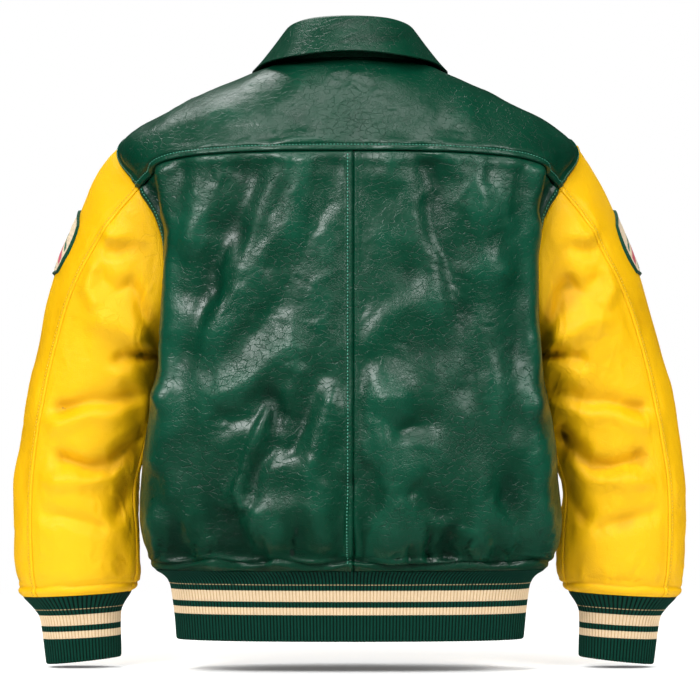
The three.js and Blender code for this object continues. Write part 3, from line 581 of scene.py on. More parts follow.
def sleeve_grid(side):
    start = armhole(side, "points")
    first = {key: v[0, 0] for key, v in sleeve_rows.items()}
    angles = armhole_angle(start, first, side)
    down = (sleeve_coarse / sleeve_coarse[-1])[:, None]
    angle = mix(angles[None], lower_angles[None], smooth(down / SEAMS_SETTLE))
    held = (1 - smooth(down / ARMHOLE_HOLD))[..., None]
    points = sleeve_point(sleeve_rows, angle, side)
    points = points + (start - sleeve_point(first, angles, side))[None] * held
    facing = np.sin(angle)
    x = side * points[..., 0]
    behind = fold_height(SLEEVE_BACK_FOLDS, x, points[..., 2])
    ahead = fold_height(SLEEVE_FRONT_FOLDS, x, points[..., 2])
    share = smooth((down - FOLDS_START) / FOLDS_FADE) * (1 - smooth((down - FOLDS_END) / FOLDS_FADE))
    rise = share * smooth(np.abs(facing) / 0.5) * np.where(facing > 0, behind, ahead)
    out = unit(np.stack([side * np.maximum(np.cos(angle), 0) * 0.6, -facing, 0 * facing], axis=-1))
    points = points + out * rise[..., None]
    nestle = NESTLE * hump(points[..., 2], NESTLE_Z, NESTLE_HALF)
    points[..., 0] -= side * nestle * np.maximum(-np.cos(angle), 0)
    clearance = SLEEVE_CLEARANCE * np.clip(sleeve_coarse / 2, 0, 1)[:, None]
    reach = body_reach(points[..., 1], points[..., 2]) + clearance
    points[..., 0] = side * np.maximum(side * points[..., 0], reach)
    points[0] = start
    return points


def tube_axis(s, side):
    """The direction a tube's section faces"""
    across = sleeve_point(s, 0, side) - sleeve_point(s, math.pi, side)
    return unit(np.cross(across, [0, 1, 0]))


def last_section(rows):
    return {key: v[-1, 0] for key, v in rows.items()}


def sleeve(side):
    points = sleeve_grid(side)
    middle = sleeve_point(sleeve_rows, math.pi / 2, side) + sleeve_point(sleeve_rows, -math.pi / 2, side)
    normals = normals_of(points, middle / 2, closed=True)
    axis = tube_axis(last_section(sleeve_rows), side)
    normals[-1] = unit(normals[-1] - (normals[-1] @ axis)[:, None] * axis)
    mean = unit(normals[0] + armhole(side, "normals"))
    normals[0] = mean
    rise = SHOULDER - UNDERARM
    backs[side]["normals"][UNDERARM : SHOULDER + 1, -1] = mean[: rise + 1]
    fronts[side]["normals"][UNDERARM + 1 : SHOULDER, 0] = mean[rise + 1 :][::-1]
    for row in (UNDERARM, SHOULDER):
        fronts[side]["normals"][row, 0] = backs[side]["normals"][row, -1]
    return {"points": points, "normals": normals}


sleeves = {side: sleeve(side) for side in (-1, 1)}


# Meshes

def wall_faces(rows, columns, keep_rows, keep_columns, closed):
    """Faces of a closed wall: the outer grid, the inner grid on some of its rows and columns, and rims"""
    inner_wide = len(keep_columns) - (1 if closed else 0)
    outer = np.arange(rows * columns).reshape(rows, columns)
    inner = outer.size + np.arange(len(keep_rows) * inner_wide).reshape(-1, inner_wide)
    if closed:
        outer, inner = (np.concatenate([ids, ids[:, :1]], axis=1) for ids in (outer, inner))

    def quads(ids):
        corners = (ids[:-1, :-1], ids[:-1, 1:], ids[1:, 1:], ids[1:, :-1])
        return np.stack([c.ravel() for c in corners], axis=1)

    def rim(outer_line, inner_line, kept):
        made = []
        for k in range(len(kept) - 1):
            start, end = kept[k], kept[k + 1]
            half = (start + end) // 2
            made += [(outer_line[m], outer_line[m + 1], inner_line[k]) for m in range(start, half)]
            made.append((outer_line[half], inner_line[k + 1], inner_line[k]))
            made += [(outer_line[m], outer_line[m + 1], inner_line[k + 1]) for m in range(half, end)]
        return made

    borders = [(outer[0], inner[0], keep_columns, True), (outer[-1], inner[-1], keep_columns, False)]
    if not closed:
        borders.append((outer[:, 0], inner[:, 0], keep_rows, False))
        borders.append((outer[:, -1], inner[:, -1], keep_rows, True))
    rims = []
    for outer_line, inner_line, kept, back in borders:
        if back:
            last = len(outer_line) - 1
            outer_line, inner_line = outer_line[::-1], inner_line[::-1]
            kept = [last - k for k in kept[::-1]]
        rims += rim(outer_line.tolist(), inner_line.tolist(), kept)
    return quads(outer).tolist(), rims, quads(inner)[:, ::-1].tolist()


def kept_lines(count, stride):
    return sorted(set(range(0, count, stride)) | {count - 1})


def enclosed(points, faces):
    """Six times the volume inside a closed mesh, from fans of each face's corners"""
    total = 0
    for size in (3, 4):
        ids = np.array([f for f in faces if len(f) == size])
        if len(ids) == 0:
            continue
        a, b, c = points[ids[:, 0]], points[ids[:, 1]], points[ids[:, 2]]
        total += np.sum(a * np.cross(b, c))
        if size == 4:
            total += np.sum(a * np.cross(c, points[ids[:, 3]]))
    return total


def add_mesh(name, points, faces, materials, slots=None, values=None):
    """An object in metres from millimetre points, with a material slot for each face and named values"""
    if enclosed(points, faces) < 0:
        faces = [tuple(f)[::-1] for f in faces]
    mesh = bpy.data.meshes.new(name)
    mesh.from_pydata((points * MM).tolist(), [], faces)
    for material in materials:
        mesh.materials.append(material)
    if slots is not None:
        mesh.polygons.foreach_set("material_index", slots)
    for key, data in (values or {}).items():
        mesh.attributes.new(key, "FLOAT", "POINT").data.foreach_set("value", data.astype(np.float32))
    mesh.shade_smooth()
    mesh.set_sharp_from_angle(angle=math.radians(70))
    mesh.update()
    made = bpy.data.objects.new(name, mesh)
    bpy.context.scene.collection.objects.link(made)
    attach(made, "root")
    return made


def add_wall(name, piece, materials, stride=(2, 2), closed=False):
    """A closed wall: the detailed outer grid over a plainer inner one"""
    points, normals, detail = piece["points"], piece["normals"], piece["detail"]
    rows, columns = points.shape[:2]
    keep_rows = kept_lines(rows, stride[0])
    keep_columns = kept_lines(columns + 1 if closed else columns, stride[1])
    outer = points + normals * detail[..., None]
    inner_columns = keep_columns[:-1] if closed else keep_columns
    pick = np.ix_(keep_rows, inner_columns)
    sunk = np.minimum(detail[pick] + 1, 0)[..., None]
    inner = points[pick] + normals[pick] * (sunk - piece["thickness"])
    out_faces, rims, in_faces = wall_faces(rows, columns, keep_rows, keep_columns, closed)
    slots = [0] * (len(out_faces) + len(rims)) + [1] * len(in_faces)
    verts = np.concatenate([outer.reshape(-1, 3), inner.reshape(-1, 3)])
    values = {}
    for key, data in piece.get("values", {}).items():
        values[key] = np.concatenate([data.ravel(), data[pick].ravel()])
    piece["outer"] = outer
    return add_mesh(name, verts, out_faces + rims + in_faces, materials, slots, values)


# Borders, seams and wrinkles

POINTS_AT_ONCE = 4000
STRIP_SLOPE = 1.6
DENT_HALF = 1.2
SEAM_HOLD = 3
SEAM_FADE = 12


def distance_to(points, line):
    """Each grid point's distance from a line of points"""
    parts = np.linspace(0, 1, 4, endpoint=False)[:, None, None]
    between = line[None, :-1] + (line[1:] - line[:-1])[None] * parts
    dense = np.concatenate([between.reshape(-1, 3), line[-1:]])
    flat = points.reshape(-1, 3)
    made = []
    for k in range(0, len(flat), POINTS_AT_ONCE):
        part = flat[k : k + POINTS_AT_ONCE]
        square = (part ** 2).sum(1)[:, None] + (dense ** 2).sum(1)[None] - 2 * part @ dense.T
        made.append(np.sqrt(np.clip(square.min(axis=1), 0, None)))
    return np.concatenate(made).reshape(points.shape[:2])


def rolled(distance, reach=2.4, depth=1.3):
    """An edge that turns in to its seam"""
    return -depth * np.clip(1 - distance / reach, 0, 1) ** 2


def raised(distance, width, height):
    """A flat strip beside a seam, where the leather lies double"""
    return height * (1 - smooth((distance - width) / STRIP_SLOPE))


def stitched(distance, place, depth=0.7):
    """The dent that a row of stitches pulls in"""
    return -depth * hump(distance, place, DENT_HALF)


def nearest_of(*distances):
    return np.minimum.reduce(distances)


def free_of(distance):
    """From 0 beside a seam to 1 where the leather can wrinkle"""
    return smooth((distance - SEAM_HOLD) / SEAM_FADE)


SWELL_HEIGHT = 3.2
SWELL_WIDTH = 32
SWELL_LENGTH = 42
# Sets of shallow creases: their height, length, width and turn, the size of the patches they lie in,
# how much of the leather the patches take, and steps in the seed for the creases and the patches
CREASE_SETS = ((0.75, 40, 13, 1.05, 50, 0.3, 3, 7), (0.45, 26, 8, -0.5, 42, 0.2, 11, 8))


def wrinkles(u, v, seed, strength=1.0):
    """Soft unevenness and patches of shallow creases"""
    made = SWELL_HEIGHT * lattice_noise(u / SWELL_WIDTH, v / SWELL_LENGTH, seed)
    for height, length, width, turn, patch, share, own_seed, patch_seed in CREASE_SETS:
        present = smooth((lattice_noise(u / patch, v / patch, seed + patch_seed) + share) / 0.6)
        made = made + height * present * creases(u, v, length, width, turn, seed + own_seed)
    return strength * made


HEM_Z = -590
WELT_FOOT_Z = -585.4
WELT_CREASE_Z = -580.6
WELT_TOP_Z = -580
HEM_SHARE_AT_SIDES = 0.35
HEM_EDGE_FADE = 3.5
HEM_CALM_HEIGHT = 40
SIDE_SHARE = 0.2
SIDE_FADE = 45
# Share of the folds' height put into the lift value, by which the leathers are painted lighter on ridges
# (partly wear, partly painted highlight) and darker in troughs (painted shade)
FOLD_TONE = 0.35
ARM_STRIP = 9.3
ARM_STRIP_HEIGHT = 1.3
CREASE_LENGTH = 1000
STITCH_ARM = 6.6
STITCH_YOKE = 6.4
STITCH_CENTRE = 6.2
STITCH_SLEEVE = 4.6
STITCH_COLLAR = 8.5
STITCH_FRONT = 6


def hem_details(u, z):
    """The rolled welt above the knit and the gathers that run up from it"""
    wave = 4.4 * lattice_noise(u / 44, 0 * u, 41)
    height = z - wave
    ridge = creases(0 * u, u, CREASE_LENGTH, 21, 0, 43)
    welt = 1.6 * hump(height, WELT_FOOT_Z, 3.4) - 3.4 * hump(height, WELT_CREASE_Z, 2.4)
    rise = smooth((height - WELT_TOP_Z) / 7) * (1 - smooth((z - WELT_TOP_Z - 16) / 34))
    high = smooth((height - WELT_TOP_Z) / 8) * (1 - smooth((z - WELT_TOP_Z - 30) / 70))
    pull = lattice_noise(u / 38, 0 * u, 47)
    pinch = np.clip(ridge, 0, 1) ** 2.5
    gathers = rise * (0.9 - 4.6 * pinch) + high * 6.5 * pull
    return welt + gathers + 0.4 * (height < WELT_TOP_Z) * lattice_noise(u / 9, z / 30, 44)


def hem_share(points, turned):
    """How much of the hem's details a body piece takes: none at the edge that meets the knit"""
    return mix(HEM_SHARE_AT_SIDES, 1, turned) * smooth(distance_to(points, points[0]) / HEM_EDGE_FADE)


def arm_edge(arm, groove, half, strip=1):
    """An armhole's rolled edge, its double strip with a row of stitches, and the groove beside the strip"""
    strip = strip * raised(arm, ARM_STRIP, ARM_STRIP_HEIGHT)
    return rolled(arm) + strip + stitched(arm, STITCH_ARM) - groove * hump(arm, 12, half)


def cut(grid, rows, columns):
    return {key: grid[key][rows][:, columns].copy() for key in ("points", "normals")}


def back_piece(side):
    piece = cut(backs[side], slice(0, YOKE_SEAM + 1), slice(None))
    points = piece["points"]
    centre = distance_to(points, points[:, 0])
    arm = distance_to(points, points[UNDERARM:, -1])
    hip = distance_to(points, points[: UNDERARM + 1, -1])
    top = distance_to(points, points[-1])
    u = side * arc_along(points)
    z = points[..., 2]
    calm = free_of(nearest_of(centre, top, arm, hip))
    turned = mix(SIDE_SHARE, 1, smooth((body_rows["side_y"][: YOKE_SEAM + 1] - points[..., 1]) / SIDE_FADE))
    high = smooth((z - HEM_Z) / HEM_CALM_HEIGHT)
    detail = wrinkles(u, z, 100, calm * turned * high) + hem_details(u, z) * hem_share(points, turned)
    detail += 0.9 * hump(top, 14, 12) * creases(0 * u, u, CREASE_LENGTH, 17, 0, 61) * calm
    detail += rolled(centre, 2.8, 2.2) + rolled(hip, depth=1.1) + arm_edge(arm, 0.4, 3)
    detail += -2.4 * (1 - smooth(top / 3.2)) + 1.2 * hump(top, 10, 6)
    detail -= 4.5 * hump(arm, 17, 7) * smooth((z + 224) / 22) * smooth((-138 - z) / 12)
    if side < 0:
        detail += raised(centre, 8, 0.9) + stitched(centre, STITCH_CENTRE)
    detail += 0.5 * hump(centre, 3.5, 2)
    lift = detail + FOLD_TONE * turned * fold_height(BACK_FOLDS, points[..., 0], z)
    piece.update(detail=detail, thickness=LEATHER, centre=centre, arm=arm, values={"lift": lift})
    return piece


def front_piece(side):
    piece = cut(fronts[side], slice(0, TOP + 1), slice(None))
    points = piece["points"]
    arm = distance_to(points, points[UNDERARM : SHOULDER + 1, 0])
    hip = distance_to(points, points[: UNDERARM + 1, 0])
    shoulder = distance_to(points, points[SHOULDER:, 0])
    edge = distance_to(points, points[:, -1])
    top = distance_to(points, points[-1])
    u = 700 - side * arc_along(points)
    z = points[..., 2]
    calm = free_of(nearest_of(arm, hip, shoulder, top, edge - 20))
    turned = mix(SIDE_SHARE, 1, smooth((points[..., 1] - body_rows["side_y"] - SIDE_FADE) / SIDE_FADE))
    lap = smooth((side * points[..., 0] - LAP_FLAT - 1) / 25)
    detail = wrinkles(u, z, 200, calm * turned * smooth((z - HEM_Z) / HEM_CALM_HEIGHT) * lap)
    detail += hem_details(u, z) * hem_share(points, turned) * (0.15 + 0.85 * lap)
    detail += rolled(hip, depth=1.1) + rolled(shoulder) + rolled(edge, 2.2, 1.4) + arm_edge(arm, 0.9, 2.4)
    detail += stitched(edge, STITCH_FRONT, 0.5) + 0.5 * hump(shoulder, 4, 2.5)
    lift = detail + FOLD_TONE * turned * fold_height(FRONT_FOLDS, points[..., 0], z)
    piece.update(detail=detail, thickness=LEATHER, arm=arm, edge=edge, values={"lift": lift})
    return piece


def yoke_piece():
    rows = slice(YOKE_SEAM, TOP + 1)
    left = cut(backs[-1], rows, slice(1, None))
    right = cut(backs[1], rows, slice(None))
    piece = {key: np.concatenate([left[key][:, ::-1], right[key]], axis=1) for key in left}
    points = piece["points"]
    rise = SHOULDER - YOKE_SEAM
    bottom = distance_to(points, points[0])
    arms = [distance_to(points, points[: rise + 1, j]) for j in (0, -1)]
    arm = np.minimum(*arms)
    shoulder = np.minimum(*[distance_to(points, points[rise:, j]) for j in (0, -1)])
    top = distance_to(points, points[-1])
    u = arc_along(points)
    u = u - u[:, [u.shape[1] // 2]]
    calm = free_of(nearest_of(bottom, arm, shoulder, top))
    detail = wrinkles(u, points[..., 2] * 1.2, 300, 0.75 * calm)
    detail += raised(bottom, 5.4, 1.9) + rolled(bottom, 1.2, 0.9) + stitched(bottom, STITCH_YOKE, 1.1)
    detail += 1.2 * hump(bottom, 11, 4.5) + rolled(shoulder)
    detail += arm_edge(arm, 0.9, 2.4, strip=smooth((bottom - 1) / 4))
    piece.update(detail=detail, thickness=LEATHER, bottom=bottom, arms=arms, values={"lift": detail})
    return piece


def sleeve_piece(side, upper):
    grid = sleeves[side]
    count = grid["points"].shape[1]
    ids = np.arange(SLEEVE_SEAM, count + 1) % count if upper else np.arange(0, SLEEVE_SEAM + 1)
    piece = cut(grid, slice(None), ids)
    points = piece["points"]
    seam_back, seam_inner = (0, -1) if upper else (-1, 0)
    arm = distance_to(points, points[0])
    back = distance_to(points, points[:, seam_back])
    inner = distance_to(points, points[:, seam_inner])
    bottom = distance_to(points, points[-1])
    around = loop_columns[ids]
    if upper:
        around[-1] += SLEEVE_COLUMNS
    u = COLUMN_WIDTH * around[None] + 0 * arm
    v = -ROW_LENGTH * sleeve_coarse[:, None] + 0 * arm
    gap = side * points[..., 0] - body_reach(points[..., 1], points[..., 2])
    free = smooth((gap - 2) / 9)
    calm = free_of(nearest_of(arm, bottom - 6, back, inner))
    detail = wrinkles(u, v, 400 + side, 0.85 * calm * free)
    wave = bottom + lattice_noise(u / 24, 0 * u, 51 + side)
    gather = creases(u, 0 * u, CREASE_LENGTH, 19, 0, 53 + side)
    detail += 1.3 * hump(wave, 6, 4.2) - 2.2 * hump(wave, 12.6, 2)
    detail += 1.5 * (gather - 0.45) * smooth((bottom - 12) / 5) * (1 - smooth((bottom - 16) / 26)) * free
    detail += rolled(arm, 3.5, 1.5) + 0.7 * hump(arm, 7, 4)
    detail += rolled(back, depth=1.0) + rolled(inner, depth=1.0)
    if upper:
        detail += raised(back, 5.8, 0.9) + stitched(back, STITCH_SLEEVE, 0.6)
        detail += raised(inner, 5.4, 0.8) * free
    behind = fold_height(SLEEVE_BACK_FOLDS, side * points[..., 0], points[..., 2])
    ahead = fold_height(SLEEVE_FRONT_FOLDS, side * points[..., 0], points[..., 2])
    lift = detail + FOLD_TONE * calm * np.where(points[..., 1] < sleeve_rows["mid_y"], behind, ahead)
    piece.update(detail=detail, thickness=LEATHER, back=back, values={"lift": lift})
    return piece


# The collar

SEAM_GAP = 0.4
COLLAR_WALL = 3
ROLL_WIDTH = 9
ROLL_HEIGHT = 4.5
COLLAR_END_X = 6
COLLAR_STEPS = (5, 5, 5, 4, 9, 9, 9)
FALL_START = sum(COLLAR_STEPS[:4])


def collar_seam(side):
    """The neck seam from the centre back to the collar's end, and each point's share of the way"""
    seam = []
    for grid in (backs[side], fronts[side]):
        points = grid["points"][TOP]
        up = unit(points - grid["points"][TOP - 1])
        keep = np.ones(len(points), bool)
        length = arc_along(grid["points"][TOP:])[0]
        if grid is fronts[side]:
            flat = int(np.argmin(np.abs(side * points[:, 0] - LAP_FLAT)))
            share = np.where(
                np.arange(len(points)) <= flat,
                0.5 + 0.5 * 10 / 11 * length / length[flat],
                0.5 + 0.5 * (10 + (LAP_FLAT - side * points[:, 0]) / LAP_BLEND) / 11,
            )
            keep = side * points[:, 0] >= COLLAR_END_X - 0.5
            keep[0] = False
        else:
            share = 0.5 * length / length[-1]
        seam.append([v[keep] for v in (points, grid["normals"][TOP], up, share)])
    return [np.concatenate(parts) for parts in zip(*seam)]


def along_curve(controls, counts, ends):
    """A smooth curve through rows of control points, with some points in each span and at its end"""
    last = len(controls) - 1
    made = []
    for k, count in enumerate(counts):
        t = np.arange(count) / count
        if k == last - 1:
            t = np.concatenate([t, ends])
        near = [controls[min(last, max(0, k + step))] for step in (-1, 0, 1, 2)]
        made.append(spline(*near, t[:, None, None]))
    return np.concatenate(made)


def collar_piece():
    halves = []
    for side in (-1, 1):
        points, normals, up, share = collar_seam(side)
        s = section_at(COLLAR, (share + 0.25) / 0.25)
        roll = np.stack([side * s["roll_x"], s["roll_y"], s["roll_z"]], axis=-1)
        edge = np.stack([side * s["edge_x"], s["edge_y"], s["edge_z"]], axis=-1)
        out = unit((edge - roll) * [1, 1, 0])
        start = points + up * (SEAM_GAP + 0.3) - normals * LEATHER / 2
        crest = roll + out * ROLL_WIDTH / 2
        crest[:, 2] = roll[:, 2] + ROLL_HEIGHT
        over = roll + out * ROLL_WIDTH
        fall = [mix(over, edge, share_down) for share_down in (0.35, 0.7)]
        controls = [start, (start + roll) / 2, roll, crest, over, *fall, edge]
        curve = along_curve(controls, COLLAR_STEPS, [0.94, 0.97, 0.985, 1])
        halves.append((np.moveaxis(curve, 0, 1), normals))
    points = np.concatenate([halves[0][0][::-1], halves[1][0][1:]])
    start_normals = np.concatenate([halves[0][1][::-1], halves[1][1][1:]])
    down = np.gradient(points, axis=1)
    normals = unit(np.cross(np.gradient(points, axis=0), down))
    normals[:, 0] = -start_normals
    normals[:, 1] = unit(normals[:, 1] + normals[:, 0])
    edge = distance_to(points, points[:, -1])
    ends = np.minimum(distance_to(points, points[0]), distance_to(points, points[-1]))
    fallen = (np.arange(points.shape[1]) >= FALL_START)[None] + 0 * edge
    along = arc_along(points, axis=0)
    across = arc_along(points)
    nearest = np.minimum(edge, ends + 10 * (1 - fallen))
    detail = COLLAR_WALL / 2 + wrinkles(along, across, 500, free_of(nearest)) * fallen
    detail += rolled(nearest, 2.2, 1.2) + stitched(nearest, STITCH_COLLAR, 0.7) * fallen
    detail += 0.5 * hump(edge, 4, 3)
    piece = dict(points=points, normals=normals, detail=detail, thickness=COLLAR_WALL / 2, near=nearest)
    piece["values"] = {"lift": detail - COLLAR_WALL / 2}
    return piece


# The knit bands

KNIT = 2.6
RIB_HEIGHT = 1.1
RIB_POINTS = 6
KNIT_STEP = 2.9
ROUND_REACH = 2.4
HEM_RIBS = 272
CUFF_RIBS = 62


def evenly(lines, count):
    return along_rows(lines, lambda total: np.linspace(0, total, count + 1))


def band_places(sections):
    """Fractional places down a band, close together at its ends"""
    found = []
    for k, size in enumerate(sections["size"][:-1]):
        found.extend(k + np.arange(0, size, KNIT_STEP) / size)
    last = len(sections["size"]) - 1
    size = sections["size"][-2]
    kept = [p for p in found if last - p > 3.2 / size and p > 0.04]
    return np.array([0, 0.02] + kept + [last - d / size for d in (ROUND_REACH, 1.5, 0.8, 0.3, 0)])


def knit_band(points, middle, closed, axis):
    """A band with ribs down it, whose lower edge is rounded off"""
    normals = normals_of(points, middle, closed)
    normals[0] = unit(normals[0] - (normals[0] @ axis)[:, None] * axis)
    rib = (np.arange(points.shape[1]) % RIB_POINTS) / RIB_POINTS
    profile = 1 - np.abs(2 * rib - 1) ** 2.2
    down = arc_along(points, axis=0)
    left = down[-1] - down
    round_off = -(KNIT + RIB_HEIGHT) * 0.42 * np.clip(1 - left / ROUND_REACH, 0, 1) ** 2
    detail = RIB_HEIGHT * profile[None] * (0.35 + 0.65 * smooth(down / 4)) + round_off
    detail += 0.35 * lattice_noise(np.arange(points.shape[1])[None] / 40 + 0 * down, down / 22, 71)
    values = {"down": down, "rib": profile[None] + 0 * down}
    return dict(points=points, normals=normals, detail=detail, thickness=KNIT, values=values)


def hem_lines(sections):
    """The hem band's line at each section, from its upper end at the centre front round to its lower one"""
    s = {key: v[:, None] for key, v in sections.items()}
    s.update(full_b=s["full"], full_f=s["full"], z_back=s["z"], z_side=s["z"], z_front=s["z"], late=0, lean=0)
    angle = np.linspace(math.pi, 0, CURVE_STEPS)[None] + 0 * s["z"]
    lines = np.concatenate([body_point(s, angle, -1), body_point(s, angle[:, ::-1], 1)[:, 1:]], axis=1)
    half = lines.shape[1] // 2
    beneath = (np.arange(lines.shape[1]) > half) * (lines[..., 1] > 0)
    beneath = beneath * (1 - smooth((lines[..., 0] - LAP_FLAT) / 40))
    set_back = KNIT + RIB_HEIGHT + LAP_GAP
    lines[..., 1] -= set_back * beneath
    ends = []
    for side, back in ((1, 0), (-1, set_back)):
        front = s["front_y"] - back
        ends.append(np.stack([0 * front + side * LAP_REACH, front, s["z"]], axis=-1))
    return np.concatenate([ends[0], lines, ends[1]], axis=1)


def hem_piece():
    rows = section_at(HEM, band_places(HEM))
    points = evenly(hem_lines(rows), HEM_RIBS * RIB_POINTS)
    middle = np.zeros((len(points), 1, 3))
    middle[:, 0, 2] = rows["z"]
    return knit_band(points, middle, False, np.array([0, 0, 1.0]))


def cuff_piece(side):
    rows = {key: v[:, None] for key, v in section_at(CUFF, band_places(CUFF)).items()}
    angle = np.linspace(0, 2 * math.pi, CURVE_STEPS)[None]
    points = evenly(sleeve_point(rows, angle, side), CUFF_RIBS * RIB_POINTS)[:, :-1]
    middle = (sleeve_point(rows, math.pi / 2, side) + sleeve_point(rows, -math.pi / 2, side)) / 2
    axis = tube_axis({key: v[0, 0] for key, v in rows.items()}, side)
    return knit_band(points, middle, True, axis)


# Patches on the upper arms

PATCH_COLUMN = 12
PATCH_ROW = 4.55
PATCH_HALF_COLUMNS = 1.6
PATCH_HALF_ROWS = 1.3
PATCH_HALF_WIDTH = 38
PATCH_HALF_HEIGHT = 40
PATCH_ROUND = 0.72
PATCH_LIFT = 0.5
PATCH_THICKNESS = 2.0
PATCH_BASE = 0.3


def lookup(grid, i, j):
    """Values of a grid at fractional rows and columns"""
    i0 = np.clip(np.floor(i).astype(int), 0, grid.shape[0] - 2)
    j0 = np.clip(np.floor(j).astype(int), 0, grid.shape[1] - 2)
    u = (i - i0)[..., None]
    v = (j - j0)[..., None]
    low = mix(grid[i0, j0], grid[i0 + 1, j0], u)
    high = mix(grid[i0, j0 + 1], grid[i0 + 1, j0 + 1], u)
    return mix(low, high, v)


def patch_piece(upper):
    near_rim = np.linspace(0.8, 1, 6)
    steps = np.concatenate([-near_rim[::-1], np.linspace(-0.76, 0.76, 35), near_rim])
    b, a = np.meshgrid(steps, steps, indexing="ij")
    x = a * np.sqrt(1 - PATCH_ROUND * b * b / 2)
    y = b * np.sqrt(1 - PATCH_ROUND * a * a / 2)
    columns = np.append(loop_columns[SLEEVE_SEAM:], SLEEVE_COLUMNS)
    j = np.interp(PATCH_COLUMN + PATCH_HALF_COLUMNS * x, columns, np.arange(len(columns)))
    i = np.interp(PATCH_ROW + PATCH_HALF_ROWS * y, sleeve_coarse, np.arange(len(sleeve_coarse)))
    normals = unit(lookup(upper["normals"], i, j))
    points = lookup(upper["outer"], i, j) + normals * PATCH_LIFT
    rim = 1 - np.maximum(np.abs(a), np.abs(b))
    detail = PATCH_THICKNESS + 0.9 * hump(rim, 0.055, 0.04) - 0.6 * hump(rim, 0.125, 0.02)
    detail += 0.25 * lattice_noise(x * 16, y * 16, 91) * (rim > 0.14)
    detail -= 2.2 * np.clip(1 - rim / 0.035, 0, 1) ** 2
    values = {
        "across": x * PATCH_HALF_WIDTH,
        "upward": -y * PATCH_HALF_HEIGHT,
        "rim": rim * PATCH_HALF_WIDTH,
    }
    return dict(points=points, normals=normals, detail=detail, thickness=PATCH_BASE, values=values)


# Stitches

PITCH = 3.9
STITCH_LENGTH = 2.6
THREAD = 0.75
THREAD_DIP = 0.35
THREAD_LIFT = 0.3


def stitch_shape():
    """One stitch along X, modelled once: a short thread that dips at both ends"""
    bpy.ops.object.select_all(action="DESELECT")
    bpy.ops.mesh.primitive_uv_sphere_add(segments=6, ring_count=5, radius=1, rotation=(0, math.pi / 2, 0))
    made = bpy.context.object
    bpy.ops.object.transform_apply(location=False, rotation=True, scale=True)
    made.scale = (STITCH_LENGTH / 2, THREAD, THREAD)
    bpy.ops.object.transform_apply(location=False, rotation=False, scale=True)
    points = np.array([v.co for v in made.data.vertices])
    points[:, 2] -= THREAD_DIP * (np.abs(points[:, 0]) / (STITCH_LENGTH / 2)) ** 3
    faces = [tuple(p.vertices) for p in made.data.polygons]
    bpy.data.meshes.remove(made.data)
    return points, faces


STITCH_POINTS, STITCH_FACES = stitch_shape()


def line_at(piece, distance, wanted, axis, from_end=False, rows=None):
    """The line on a piece's outer surface at a distance from one of its borders, and its normals"""
    parts = [piece["outer"], piece["normals"], distance[..., None]]
    if rows is not None:
        parts = [p[rows] for p in parts]
    outer, normals, away = (np.moveaxis(p, axis, 0) for p in parts)
    if from_end:
        outer, normals, away = outer[::-1], normals[::-1], away[::-1]
    k = np.clip(np.argmax(away[..., 0] >= wanted, axis=0), 1, None)
    at = np.arange(outer.shape[1])
    t = (wanted - away[k - 1, at]) / (away[k, at] - away[k - 1, at])
    return mix(outer[k - 1, at], outer[k, at], t), unit(mix(normals[k - 1, at], normals[k, at], t))


def add_stitches(name, lines, material):
    """Stitches at even steps along lines on the surface, as one object in one material"""
    points = []
    faces = []
    for line, normals in lines:
        lengths = np.concatenate([[0], np.cumsum(np.linalg.norm(np.diff(line, axis=0), axis=1))])
        centres = np.arange(PITCH, lengths[-1] - PITCH / 2, PITCH)

        def at(values, where):
            return np.stack([np.interp(where, lengths, values[:, k]) for k in range(3)], axis=-1)

        middle = at(line, centres)
        up = unit(at(normals, centres))
        along = unit(at(line, centres + 1) - at(line, centres - 1))
        beside = unit(np.cross(up, along))
        for centre, x, y, z in zip(middle, along, beside, up):
            base = len(points) * len(STITCH_POINTS)
            points.append(centre + z * THREAD_LIFT + STITCH_POINTS @ np.stack([x, y, z]))
            faces += [tuple(base + k for k in face) for face in STITCH_FACES]
    return add_mesh(name, np.concatenate(points), faces, [material])


# Materials

SOCKETS = {
    "colour": "Base Color",
    "roughness": "Roughness",
    "metallic": "Metallic",
    "specular": "Specular IOR Level",
    "sheen": "Sheen Weight",
    "sheen_roughness": "Sheen Roughness",
}


